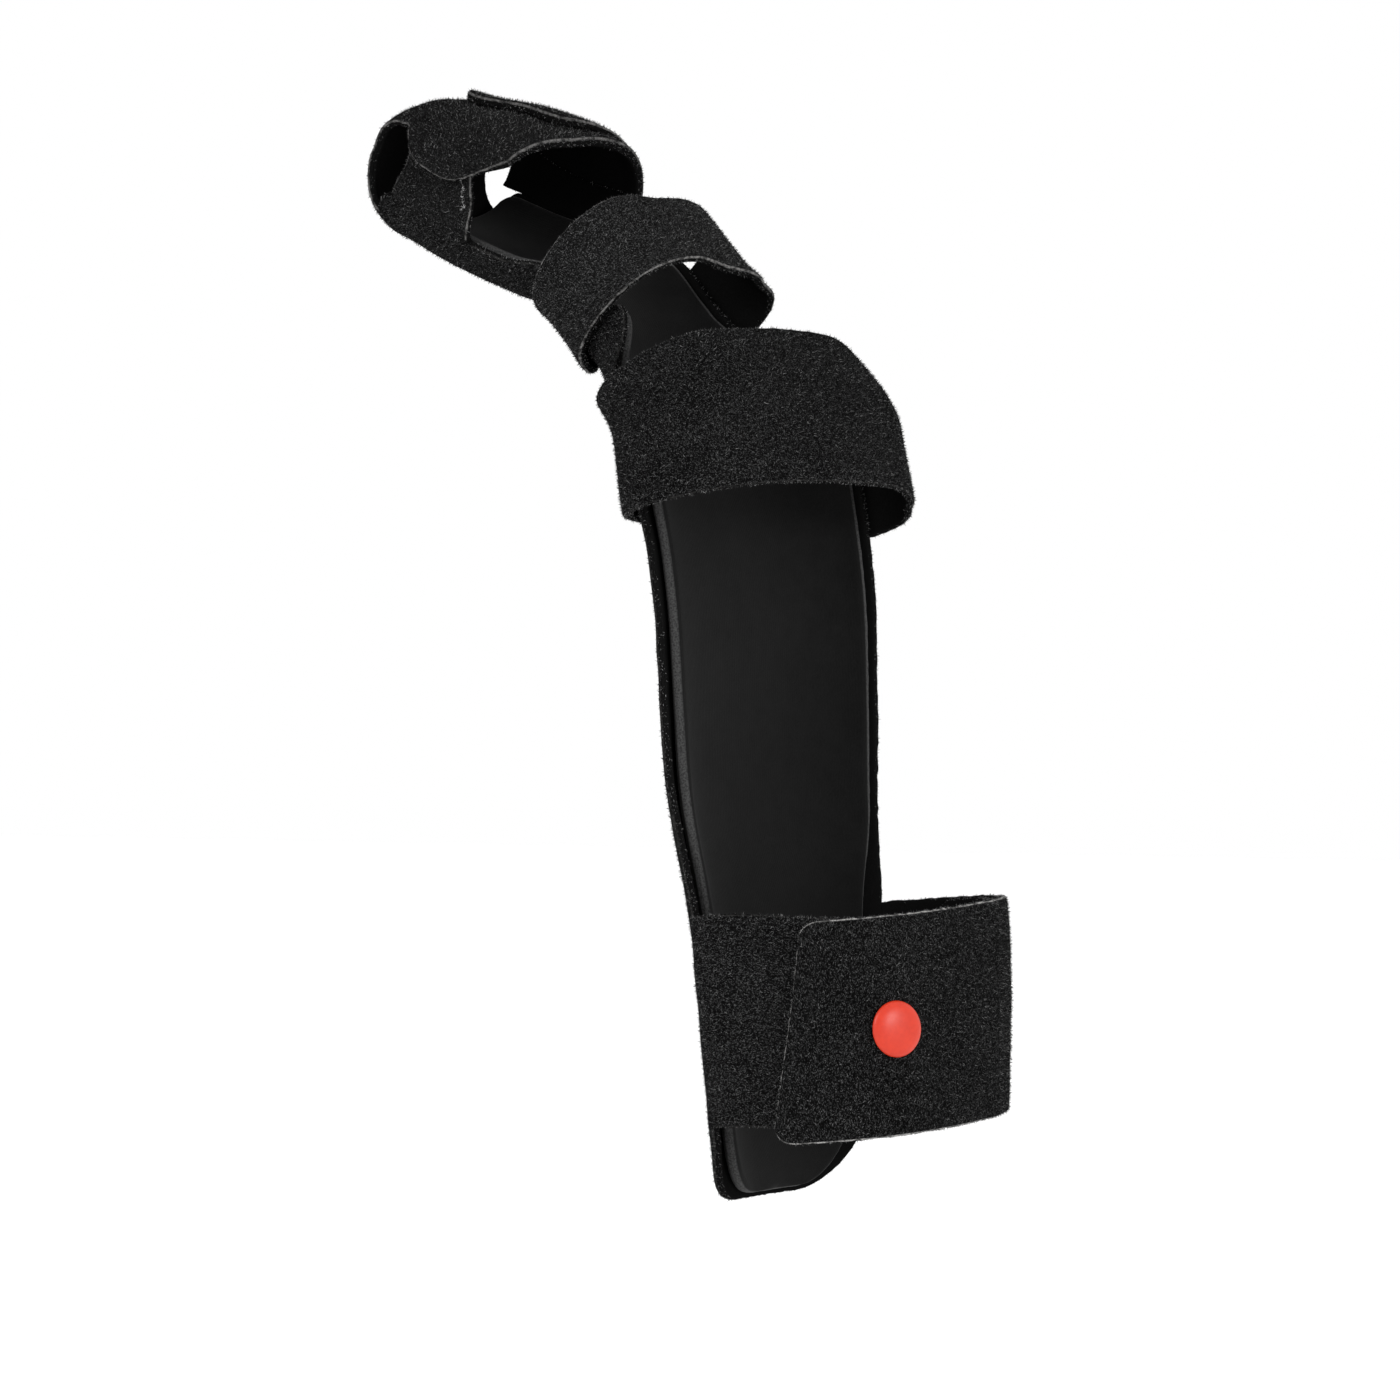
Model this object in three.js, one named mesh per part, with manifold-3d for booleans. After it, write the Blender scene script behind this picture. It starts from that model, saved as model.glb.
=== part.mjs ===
// Two-finger splint for a right hand: a padded gutter runs up the palm side of the forearm, palm and
// first two fingers, three straps close over the back, and its tip folds into a hood over the fingertips.
// Millimetres and degrees. The origin is the middle of the wrist strap's loop. +Z runs up the forearm
// towards the fingers, +X towards the little finger, and -Y towards the back of the hand.
import * as THREE from 'three';
import { mergeVertices } from 'three/addons/utils/BufferGeometryUtils.js';
import Module from 'manifold-3d';

// Driving lengths along the hand's line
const forearmLength = 36; // wrist strap's middle to the splint's lower end
const palmLength = 131; // wrist strap's middle to the knuckles
const knuckleToJoint = 48; // knuckles to the fingers' middle joint
const jointToTip = 54; // middle joint to the hood's far end

// Room left for the wrist, the palm, two fingers and the hood, across and through
const wristWidth = 69;
const wristDepth = 46;
const palmWidth = 77;
const palmDepth = 33;
const fingersWidth = 42;
const fingersDepth = 24;
const hoodWidth = 44;
const hoodDepth = 26;
const fingersAside = 15; // middle of the two fingers, from the hand's line towards the thumb
const wristAside = -2;
const hoodTwist = 9; // degrees the hood is turned, its little-finger side higher

// How far each stretch leans from upright towards the palm
const forearmLean = 4;
const palmLean = 11;
const knuckleLean = 42;
const tipLean = 69;

// Layers of the laminate
const padThickness = 3;
const coverThickness = 2;
const strapThickness = 2.1;
const hoodThickness = 1.6;
const gap = 0.3; // left between pieces that lie on each other
const slack = 0.5; // more of it where two curved pieces cross at different angles

// Straps
const wristStrapWidth = 45;
const wristStrapAt = 1;
const wristFlapWidth = 46.5;
const wristFlapAt = 0.3;
const handStrapWidth = 30.5;
const handStrapAt = palmLength;
const handStrapDrop = 5.5; // how much lower the strap runs on the little-finger side
const fingerStrapWidth = 20;
const fingerStrapAt = palmLength + knuckleToJoint * 0.84;
const strapCorner = 4;
// Length over which a strap comes down off the cover's edge, on either side
const strapFade = { thumb: 28, little: 12 };

// Press stud on the wrist flap
const studDiameter = 12;
const studRise = 2;
const studPostDiameter = 3.6;

const jointAt = palmLength + knuckleToJoint;
const tipAt = jointAt + jointToTip;
const coverInner = padThickness + gap + 0.25;
const coverOuter = coverInner + coverThickness;
const strapOverCover = coverOuter + gap + 1.7 * slack;

// Cuts across the hand. lean and twist are in degrees; aside, half, palm and back are millimetres from the
// line: the shift towards the thumb, half the width, and the reach to the palm side and to the back.
// square and dome say how square the palm side and the back are: 2 is round.
const cut = (at, lean, aside, half, palm, back, square, dome, twist) => (
  { at, lean, aside, half, palm, back, square, dome, twist });
const sections = [
  cut(-forearmLength * 1.3, forearmLean, wristAside,
    wristWidth * 0.45, wristDepth * 0.48, wristDepth * 0.45, 2.5, 2.3, 0),
  cut(-forearmLength * 0.5, forearmLean, wristAside,
    wristWidth * 0.495, wristDepth * 0.46, wristDepth * 0.51, 2.5, 2.35, 0),
  cut(forearmLength * 0.5, forearmLean, wristAside,
    wristWidth * 0.52, wristDepth * 0.47, wristDepth * 0.56, 2.6, 2.4, 0),
  cut(palmLength * 0.4, palmLean * 0.7, 0, palmWidth * 0.47, wristDepth * 0.5, wristDepth * 0.46, 2.8, 2.5, 0),
  cut(palmLength * 0.75, palmLean, 0, palmWidth * 0.5, palmDepth * 0.55, palmDepth * 0.51, 2.9, 2.5, 0),
  cut(palmLength, palmLean * 1.15, 0, palmWidth * 0.49, palmDepth * 0.48, palmDepth * 0.51, 2.9, 2.5, 0),
  cut(palmLength + knuckleToJoint * 0.3, knuckleLean * 0.68, fingersAside * 0.42,
    palmWidth * 0.45, palmDepth * 0.42, palmDepth * 0.43, 2.9, 2.4, hoodTwist * 0.1),
  cut(palmLength + knuckleToJoint * 0.6, knuckleLean, fingersAside * 0.85,
    palmWidth * 0.31, palmDepth * 0.4, fingersDepth * 0.53, 2.8, 2.3, hoodTwist * 0.2),
  cut(palmLength + knuckleToJoint * 0.78, knuckleLean, fingersAside,
    fingersWidth * 0.5, fingersDepth * 0.5, fingersDepth * 0.52, 2.7, 2.3, hoodTwist * 0.3),
  cut(jointAt, knuckleLean * 1.1, fingersAside,
    fingersWidth * 0.5, fingersDepth * 0.48, fingersDepth * 0.52, 2.7, 2.5, hoodTwist * 0.6),
  cut(jointAt + jointToTip * 0.35, tipLean, fingersAside,
    hoodWidth * 0.5, hoodDepth * 0.52, hoodDepth * 0.48, 2.7, 2.7, hoodTwist),
  cut(jointAt + jointToTip * 0.7, tipLean, fingersAside,
    hoodWidth * 0.5, hoodDepth * 0.5, hoodDepth * 0.47, 2.7, 2.7, hoodTwist * 0.8),
  cut(tipAt, tipLean, fingersAside, hoodWidth * 0.48, hoodDepth * 0.46, hoodDepth * 0.41, 2.7, 2.45, hoodTwist * 0.5),
];

// The cover's flat outline: how far it reaches round each way from the middle of the palm side
const coverOutline = [
  { at: -forearmLength, thumb: wristWidth * 0.42, little: wristWidth * 0.42 },
  { at: 0, thumb: wristWidth * 0.48, little: wristWidth * 0.5 },
  { at: palmLength * 0.3, thumb: palmWidth * 0.42, little: palmWidth * 0.5 },
  { at: palmLength * 0.55, thumb: palmWidth * 0.36, little: palmWidth * 0.54 },
  { at: palmLength * 0.8, thumb: palmWidth * 0.36, little: palmWidth * 0.56 },
  { at: palmLength * 1.02, thumb: palmWidth * 0.44, little: palmWidth * 0.55 },
  { at: palmLength + knuckleToJoint * 0.4, thumb: palmWidth * 0.44, little: palmWidth * 0.44 },
  { at: palmLength + knuckleToJoint * 0.6, thumb: palmWidth * 0.42, little: palmWidth * 0.36 },
  { at: palmLength + knuckleToJoint * 0.75, thumb: fingersWidth * 0.58, little: fingersWidth * 0.58 },
  { at: jointAt, thumb: fingersWidth * 0.56, little: fingersWidth * 0.56 },
  { at: tipAt, thumb: hoodWidth * 0.54, little: hoodWidth * 0.54 },
];

const radians = THREE.MathUtils.degToRad;
const ease = (low, high, x) => THREE.MathUtils.smoothstep(x, low, high);
const mix = THREE.MathUtils.lerp;

// A column of a table at any place along, through the rows with slopes that never overshoot
function column(rows, name, at) {
  const last = rows.length - 1;
  if (at <= rows[0].at) return rows[0][name];
  if (at >= rows[last].at) return rows[last][name];
  let i = 0;
  while (rows[i + 1].at < at) i++;
  const slope = (k) => (rows[k + 1][name] - rows[k][name]) / (rows[k + 1].at - rows[k].at);
  const slopeAt = (k) => {
    if (k === 0 || k === last) return 0;
    const [before, after] = [slope(k - 1), slope(k)];
    return before * after <= 0 ? 0 : (2 * before * after) / (before + after);
  };
  const span = rows[i + 1].at - rows[i].at;
  const x = (at - rows[i].at) / span;
  const rise = rows[i + 1][name] - rows[i][name];
  const cubic = x * x * (3 - 2 * x);
  return rows[i][name] + rise * cubic
    + span * (slopeAt(i) * x * (1 - x) ** 2 - slopeAt(i + 1) * x * x * (1 - x));
}

// The hand's line: walked in 1 mm steps both ways from the origin
function walk(steps, step) {
  const points = [new THREE.Vector3()];
  for (let i = 0; i < steps; i++) {
    const lean = radians(column(sections, 'lean', (i + 0.5) * step));
    points.push(points[i].clone().add(new THREE.Vector3(0, Math.sin(lean), Math.cos(lean)).multiplyScalar(step)));
  }
  return points;
}
const upwards = walk(Math.ceil(tipAt) + 30, 1);
const downwards = walk(Math.ceil(forearmLength * 1.5), -1);

function lineAt(at) {
  const points = at < 0 ? downwards : upwards;
  const i = Math.min(Math.floor(Math.abs(at)), points.length - 2);
  return points[i].clone().lerp(points[i + 1], Math.abs(at) - i);
}

// One cut across the hand: points round it with the distance walked, from the middle of the palm side
// by way of the little finger, the back and the thumb
const ringPoints = 120;
const rings = new Map();
function ringAt(at) {
  if (rings.has(at)) return rings.get(at);
  const get = (name) => column(sections, name, at);
  const [half, palm, back] = [get('half'), get('palm'), get('back')];
  const points = [];
  for (let i = 0; i <= ringPoints; i++) {
    const angle = (i / ringPoints) * 2 * Math.PI - Math.PI / 2;
    const [c, s] = [Math.cos(angle), Math.sin(angle)];
    const depth = s < 0 ? palm : back;
    const power = 2 / (s < 0 ? get('square') : get('dome'));
    points.push(new THREE.Vector2(
      half * Math.sign(c) * Math.abs(c) ** power,
      depth * Math.sign(s) * Math.abs(s) ** power,
    ));
  }
  const walked = [0];
  points.slice(1).forEach((p, i) => walked.push(walked[i] + p.distanceTo(points[i])));
  const [lean, twist] = [radians(get('lean')), radians(get('twist'))];
  const back0 = new THREE.Vector3(0, -Math.cos(lean), Math.sin(lean));
  const side0 = new THREE.Vector3(1, 0, 0);
  const ring = {
    points, walked, around: walked[ringPoints],
    middle: lineAt(at).add(new THREE.Vector3(-get('aside'), 0, 0)),
    side: side0.clone().multiplyScalar(Math.cos(twist)).addScaledVector(back0, Math.sin(twist)),
    back: back0.clone().multiplyScalar(Math.cos(twist)).addScaledVector(side0, -Math.sin(twist)),
    along: new THREE.Vector3(0, Math.sin(lean), Math.cos(lean)),
  };
  rings.set(at, ring);
  return ring;
}

// A flat point on a ring: distance round from the middle of the palm side (minus is towards the thumb)
// and height off the ring
function onRingFlat(ring, round, off) {
  const far = THREE.MathUtils.euclideanModulo(round, ring.around);
  let i = 0;
  while (i < ringPoints - 1 && ring.walked[i + 1] < far) i++;
  const x = (far - ring.walked[i]) / (ring.walked[i + 1] - ring.walked[i]);
  const pick = (k) => ring.points[(k + ringPoints) % ringPoints];
  const tangent = (k) => pick(k + 1).clone().sub(pick(k - 1)).normalize();
  const flat = pick(i).clone().lerp(pick(i + 1), x);
  const way = tangent(i).lerp(tangent(i + 1), x).normalize();
  return flat.add(new THREE.Vector2(way.y, -way.x).multiplyScalar(off));
}

const inSpace = (ring, flat, ahead = 0) => ring.middle.clone()
  .addScaledVector(ring.side, flat.x)
  .addScaledVector(ring.back, flat.y)
  .addScaledVector(ring.along, ahead);

const onRing = (at, round, off) => {
  const ring = ringAt(at);
  return inSpace(ring, onRingFlat(ring, round, off));
};

// A closed slab over a grid: place(i, j) gives the inner and the outer point of row i, column j
function slab(rows, columns, place) {
  const positions = [];
  const at = (layer, i, j) => (layer * (rows + 1) + i) * (columns + 1) + j;
  const grid = [];
  for (let i = 0; i <= rows; i++) {
    for (let j = 0; j <= columns; j++) grid.push(place(i / rows, j / columns));
  }
  [0, 1].forEach((layer) => grid.forEach((pair) => positions.push(...pair[layer].toArray())));
  const index = [];
  const quad = (a, b, c, d) => index.push(a, b, c, a, c, d);
  for (let i = 0; i < rows; i++) {
    for (let j = 0; j < columns; j++) {
      quad(at(0, i, j), at(0, i, j + 1), at(0, i + 1, j + 1), at(0, i + 1, j));
      quad(at(1, i, j), at(1, i + 1, j), at(1, i + 1, j + 1), at(1, i, j + 1));
    }
  }
  for (let i = 0; i < rows; i++) {
    quad(at(0, i, 0), at(0, i + 1, 0), at(1, i + 1, 0), at(1, i, 0));
    quad(at(0, i + 1, columns), at(0, i, columns), at(1, i, columns), at(1, i + 1, columns));
  }
  for (let j = 0; j < columns; j++) {
    quad(at(0, 0, j + 1), at(0, 0, j), at(1, 0, j), at(1, 0, j + 1));
    quad(at(0, rows, j), at(0, rows, j + 1), at(1, rows, j + 1), at(1, rows, j));
  }
  const geometry = new THREE.BufferGeometry();
  geometry.setAttribute('position', new THREE.Float32BufferAttribute(positions, 3));
  geometry.setIndex(index);
  return outwards(geometry);
}

// Turns a closed mesh's faces round if they point inwards
function outwards(geometry) {
  const p = geometry.getAttribute('position');
  const index = Array.from(geometry.index.array);
  const [a, b, c] = [new THREE.Vector3(), new THREE.Vector3(), new THREE.Vector3()];
  let volume = 0;
  for (let i = 0; i < index.length; i += 3) {
    a.fromBufferAttribute(p, index[i]);
    b.fromBufferAttribute(p, index[i + 1]);
    c.fromBufferAttribute(p, index[i + 2]);
    volume += a.dot(b.cross(c));
  }
  if (volume < 0) {
    for (let i = 0; i < index.length; i += 3) [index[i], index[i + 1]] = [index[i + 1], index[i]];
  }
  geometry.setIndex(index);
  geometry.computeVertexNormals();
  return geometry;
}

// How much of its half width a strip keeps at a distance from its end, for a rounded corner
const corner = (distance, half, radius) => {
  const short = Math.max(0, radius - distance);
  return half - radius + Math.sqrt(Math.max(0, radius * radius - short * short));
};

// Stations from 0 to 1 that crowd at both ends, where the corners are
const crowded = (x) => mix(x, 0.5 - 0.5 * Math.cos(Math.PI * x), 0.75);

// How far the cover's edge lies round from the middle of the palm side
const coverEdge = (at, side) => column(coverOutline, side, at);

// A strap's height off the hand: over the cover on the palm side, down on the back
const edgeMargin = 2.5;
function strapHeight(around, round, run, at) {
  const thumb = (around - round - coverEdge(at, 'thumb') - edgeMargin) / strapFade.thumb;
  const little = (round - coverEdge(at, 'little') - edgeMargin) / strapFade.little;
  return strapOverCover * (1 - ease(0, 1, Math.min(thumb, little)));
}

// The gutter: one grid of rows along the hand and columns across the palm side, which the cover and the
// pad share so that their faces stay side by side. The end on the forearm is round, the tip square.
const gutterRows = 40;
const gutterColumns = 12;
const forearmEndRadius = wristWidth * 0.25;
const tipCornerRadius = 3;
const gutterAt = (row) => mix(-forearmLength, tipAt, crowded(row / gutterRows));
function gutterSpan(row) {
  const at = gutterAt(row);
  return ['thumb', 'little'].map((side) => Math.min(
    corner(at + forearmLength, coverEdge(at, side), forearmEndRadius),
    corner(tipAt - at, coverEdge(at, side), tipCornerRadius),
  ));
}

function gutterPoint(row, share, off) {
  const i = Math.min(Math.floor(row), gutterRows - 1);
  const j = Math.min(Math.floor(share * gutterColumns), gutterColumns - 1);
  const onGrid = (r, c) => {
    const [thumb, little] = gutterSpan(r);
    return onRing(gutterAt(r), mix(-thumb, little, c / gutterColumns), off);
  };
  const across = (r) => onGrid(r, j).lerp(onGrid(r, j + 1), share * gutterColumns - j);
  return across(i).lerp(across(i + 1), row - i);
}

// inset is how far the piece's edge lies inside the cover's, in millimetres
function gutter(inner, outer, endInset, inset) {
  return slab(gutterRows, gutterColumns, (u, v) => {
    const rowIn = endInset / (gutterAt(1) - gutterAt(0));
    const row = Math.min(Math.max(u * gutterRows, rowIn), gutterRows - rowIn);
    const [thumb, little] = gutterSpan(Math.round(u * gutterRows));
    const columnIn = inset(gutterAt(row)) / (thumb + little);
    const share = Math.min(Math.max(v, columnIn), 1 - columnIn);
    return [gutterPoint(row, share, inner), gutterPoint(row, share, outer)];
  });
}

// Strips that run round the hand. Turns are shares of the way round from the middle of the palm side,
// through the little finger's side (a quarter), the back (a half) and the thumb's side. A strip with a root
// starts at that edge of the cover instead of at a turn.
function strip({ middle, width, fromTurn, root, toTurn, height, slant, rise, corners, rows, columns }) {
  const around = ringAt(middle).around;
  const rootTurn = (whole, at) => {
    if (!root) return 0.5 + (fromTurn - 0.5) * (around / whole);
    const turn = (coverEdge(at, root) + gap) / whole;
    return root === 'thumb' ? 1 - turn : turn;
  };
  const length = Math.abs(toTurn - rootTurn(around, middle)) * around;
  return slab(rows, columns, (u, v) => {
    const share = crowded(v);
    const turn = mix(rootTurn(around, middle), toTurn, share);
    const across = 2 * u - 1;
    const reach = Math.min(
      corner(share * length, width / 2, corners[0]),
      corner((1 - share) * length, width / 2, corners[1]),
    );
    const at = middle + rise(turn) + across * reach;
    const ring = ringAt(at);
    const start = rootTurn(ring.around, at) * ring.around;
    const end = ring.around / 2 + (toTurn - 0.5) * around;
    const round = mix(start, end, share) + slant * across * share ** 3;
    const low = height(ring.around, THREE.MathUtils.euclideanModulo(round, ring.around), share * length, at);
    return [onRing(at, round, low), onRing(at, round, low + strapThickness)];
  });
}

const cover = gutter(coverInner, coverOuter, 0, () => 0);

const padInset = 1.2;
const padPinch = 3; // how much further in the pad's edge lies where the wrist strap crosses
const pinchAt = (at) => 1 - ease(wristStrapWidth * 0.5, wristStrapWidth * 1.1, Math.abs(at));
const pad = gutter(0, padThickness, padInset, (at) => padInset + padPinch * pinchAt(at));

// Wrist strap: grows out of the cover's thumb edge and runs over the back, its end under the flap
const rootFade = 13; // length over which it comes down from the cover's level to the wrist
const wristStrapEndTurn = 0.25;
const wristStrapLift = 2.6; // how much higher it lies at either end
const wristStrap = strip({
  middle: wristStrapAt, width: wristStrapWidth, root: 'thumb', toTurn: wristStrapEndTurn,
  height: (around, round, run) => coverInner * (1 - ease(0, rootFade, run)), slant: 0,
  rise: (turn) => wristStrapLift * (ease(0.62, 0.8, turn) + 1 - ease(0.3, 0.5, turn)),
  corners: [1, strapCorner], rows: 4, columns: 40,
});

// Wrist flap: grows out of the cover's little-finger edge and closes over the strap, with a slanted free end
const flapSlant = -2;
const flapRise = 3;
const flapEndTurn = 0.725;
const flapOff = strapThickness + gap + slack;
const flapHeight = (around, round, run) => mix(coverInner, flapOff, ease(0, rootFade, run));
const flapBlank = strip({
  middle: wristFlapAt, width: wristFlapWidth, root: 'little', toTurn: flapEndTurn, height: flapHeight,
  slant: flapSlant, rise: (turn) => flapRise * (1 - ease(0.25, flapEndTurn, turn)),
  corners: [1, strapCorner], rows: 4, columns: 40,
});

const handStrap = strip({
  middle: handStrapAt, width: handStrapWidth, fromTurn: 0.06, toTurn: 0.94, height: strapHeight, slant: 0,
  rise: (turn) => -handStrapDrop * (1 - ease(0.18, 0.42, turn)),
  corners: [strapCorner, strapCorner], rows: 6, columns: 44,
});

const fingerStrap = strip({
  middle: fingerStrapAt, width: fingerStrapWidth, fromTurn: 0.06, toTurn: 0.94, height: strapHeight, slant: 0,
  rise: () => 0, corners: [strapCorner, strapCorner], rows: 6, columns: 44,
});

// Hood. Each wing rises from the cover's edge and folds over the back. mouth and far are how far its two
// side edges lie behind the hood's far end, given by how much of the wing has been passed.
function wing({ side, length, mouth, far, height, endRadius, rows, columns }) {
  return slab(rows, columns, (u, v) => {
    const passed = 1 - (1 - v) ** 1.5;
    const cut = endRadius - corner((1 - passed) * length, endRadius, endRadius);
    const at = tipAt - mix(mouth(passed) - cut, far(passed) + cut, u);
    const round = (coverEdge(at, side) + gap + passed * length) * (side === 'thumb' ? -1 : 1);
    const low = height(passed);
    return [onRing(at, round, low), onRing(at, round, low + hoodThickness)];
  });
}

const flapOver = 0.1 + hoodThickness + gap + 1.6 * slack;
const wingLength = hoodDepth + hoodWidth * 0.16;
const wingCorner = 6;
const thumbWing = wing({
  side: 'thumb', length: wingLength, endRadius: wingCorner * 0.5,
  mouth: (p) => jointToTip * mix(0.505, 0.31, ease(-0.2, 0.7, p)),
  far: (p) => jointToTip * mix(0.07, -0.025, ease(0, 0.75, p)),
  height: (p) => mix(coverInner, 0.1, ease(0, 0.2, p)), rows: 6, columns: 18,
});

const littleWing = wing({
  side: 'little', length: wingLength, endRadius: wingCorner,
  mouth: (p) => jointToTip * mix(0.56, 0.5, ease(0.2, 0.9, p)),
  far: (p) => jointToTip * mix(-0.05, -0.05, ease(0.2, 1, p)),
  height: (p) => mix(coverInner, flapOver + hoodThickness + gap + slack, ease(0, 0.3, p)), rows: 6, columns: 18,
});

// Tip flap: comes up round the fingertips from the cover's end, then runs back over the hood to its mouth
// with an ear down each side. behind is the distance back from the far end.
const tipBulge = 3.5;
const tipSquare = 0.68; // below 1 the turn at the back is fuller than an ellipse
const tipHalf = hoodWidth * 0.44;
const flapRun = { thumb: jointToTip * 0.53, little: jointToTip * 0.63 };
const ears = [
  { at: 0, thumb: 0, little: 0 },
  { at: jointToTip * 0.085, thumb: hoodWidth * 0.091, little: hoodWidth * 0.07 },
  { at: jointToTip * 0.19, thumb: hoodWidth * 0.136, little: hoodWidth * 0.136 },
  { at: jointToTip * 0.34, thumb: hoodWidth * 0.145, little: hoodWidth * 0.18 },
  { at: jointToTip * 0.46, thumb: hoodWidth * 0.07, little: hoodWidth * 0.18 },
  { at: jointToTip * 0.53, thumb: 0, little: hoodWidth * 0.18 },
];
const tipFlap = slab(30, 14, (u, v) => {
  const endShare = 0.4;
  const x = 2 * v - 1;
  if (u < endShare) {
    const angle = radians(mix(-86, 90, u / endShare));
    const ring = ringAt(tipAt);
    const point = (off) => {
      const square = angle < 0 ? 1 : tipSquare;
      const rise = Math.abs(Math.sin(angle)) ** square;
      const reach = Math.cos(angle) ** square;
      const flat = angle < 0
        ? onRingFlat(ring, x * tipHalf, off + coverInner - flapOver)
        : onRingFlat(ring, ring.around / 2 - x * tipHalf, off);
      return inSpace(ring, new THREE.Vector2(flat.x, flat.y * rise), (tipBulge + off) * reach);
    };
    return [point(flapOver), point(flapOver + hoodThickness)];
  }
  const back = (u - endShare) / (1 - endShare);
  const behind = back * mix(flapRun.thumb, flapRun.little, 0.5 + 0.5 * x);
  const ring = ringAt(tipAt - behind);
  const half = tipHalf + column(ears, x < 0 ? 'thumb' : 'little', behind);
  const round = ring.around / 2 - x * half;
  return [flapOver, flapOver + hoodThickness].map((off) => inSpace(ring, onRingFlat(ring, round, off)));
});

// Solids are cut with manifold-3d, which wants shared corners merged
const wasm = await Module();
wasm.setup();

function toSolid(geometry) {
  const bare = geometry.clone();
  bare.deleteAttribute('normal');
  bare.deleteAttribute('uv');
  const merged = mergeVertices(bare, 1e-4);
  return new wasm.Manifold(new wasm.Mesh({
    numProp: 3,
    vertProperties: merged.getAttribute('position').array,
    triVerts: new Uint32Array(merged.index.array),
  }));
}

function fromSolid(solid) {
  const mesh = solid.getMesh();
  const geometry = new THREE.BufferGeometry();
  geometry.setAttribute('position', new THREE.BufferAttribute(mesh.vertProperties, 3));
  geometry.setIndex(new THREE.BufferAttribute(mesh.triVerts, 1));
  geometry.computeVertexNormals();
  return geometry;
}

// Press stud: a domed cap on the flap, its post through a hole in it
const studTurn = 0.625;
const studAround = studTurn * ringAt(0).around;
const studSeatHeight = flapOff + strapThickness + 0.4 * slack;
const studSeat = onRing(0, studAround, studSeatHeight);
const studAxis = onRing(0, studAround, studSeatHeight + 1).sub(studSeat).normalize();
const studTurned = new THREE.Quaternion().setFromUnitVectors(new THREE.Vector3(0, 1, 0), studAxis);

function studCap() {
  const radius = studDiameter / 2;
  const postRadius = studPostDiameter / 2;
  const rim = 0.7;
  const profile = [new THREE.Vector2(0, -strapThickness), new THREE.Vector2(postRadius, -strapThickness)];
  profile.push(new THREE.Vector2(postRadius, gap), new THREE.Vector2(radius, gap));
  for (let i = 0; i <= 6; i++) {
    const angle = (i / 6) * Math.PI / 2;
    profile.push(new THREE.Vector2(radius * Math.cos(angle), gap + rim + (studRise - rim) * Math.sin(angle)));
  }
  profile[profile.length - 1].x = 0;
  return new THREE.LatheGeometry(profile, 24);
}

const postHole = new THREE.CylinderGeometry(studPostDiameter / 2 + gap, studPostDiameter / 2 + gap, 4 * strapThickness, 20)
  .applyQuaternion(studTurned).translate(studSeat.x, studSeat.y, studSeat.z);
const flapWithHole = fromSolid(toSolid(flapBlank).subtract(toSolid(postHole)));

const velour = (colour) => new THREE.MeshStandardMaterial({ color: colour, roughness: 0.95, metalness: 0 });
const black = velour(0x161618);
const lining = velour(0x101011);
const red = new THREE.MeshStandardMaterial({ color: 0xe23a2e, roughness: 0.35, metalness: 0 });

const splint = new THREE.Group();
function piece(name, geometry, material) {
  const mesh = new THREE.Mesh(geometry, material);
  mesh.name = name;
  splint.add(mesh);
  return mesh;
}

piece('cover', cover, black);
piece('pad', pad, lining);
piece('wrist_strap', wristStrap, black);
piece('wrist_flap', flapWithHole, black);
piece('hand_strap', handStrap, black);
piece('finger_strap', fingerStrap, black);
piece('thumb_wing', thumbWing, black);
piece('tip_flap', tipFlap, black);
piece('little_wing', littleWing, black);
const stud = piece('press_stud', studCap(), red);
stud.quaternion.copy(studTurned);
stud.position.copy(studSeat);

export default splint;
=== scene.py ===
import math

import bmesh
import bpy
import numpy as np
from mathutils import Matrix, Vector


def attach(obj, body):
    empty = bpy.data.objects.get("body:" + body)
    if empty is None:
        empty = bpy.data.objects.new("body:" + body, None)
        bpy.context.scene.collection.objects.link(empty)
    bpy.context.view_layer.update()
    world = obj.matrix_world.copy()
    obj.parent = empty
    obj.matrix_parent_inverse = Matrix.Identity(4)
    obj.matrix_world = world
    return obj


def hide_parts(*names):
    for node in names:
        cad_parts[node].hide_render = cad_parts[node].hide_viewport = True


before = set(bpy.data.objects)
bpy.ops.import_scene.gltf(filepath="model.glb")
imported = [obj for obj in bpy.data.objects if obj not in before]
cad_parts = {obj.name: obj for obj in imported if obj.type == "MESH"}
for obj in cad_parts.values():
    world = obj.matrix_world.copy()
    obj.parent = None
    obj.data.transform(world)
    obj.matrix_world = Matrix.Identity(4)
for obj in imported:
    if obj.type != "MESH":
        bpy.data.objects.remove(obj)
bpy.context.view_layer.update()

# A two-finger splint of black velour laminate. All sizes are millimetres until a mesh is made.
# The origin is the middle of the wrist strap's loop, +Z up the forearm to the fingers,
# +X towards the little finger, -Y towards the back of the hand.
hand = {
    "forearmLength": 36, "palmLength": 131, "knuckleToJoint": 48, "jointToTip": 54,
    "wristWidth": 69, "wristDepth": 46, "palmWidth": 77, "palmDepth": 33,
    "fingersWidth": 42, "fingersDepth": 24, "hoodWidth": 44, "hoodDepth": 26,
    "fingersAside": 15, "wristAside": -2, "hoodTwist": 9,
    "forearmLean": 4, "palmLean": 11, "knuckleLean": 42, "tipLean": 69,
}
laminate = {"pad": 3, "cover": 2, "strap": 2.1, "hood": 1.6, "gap": 0.3, "slack": 0.5}

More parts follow.
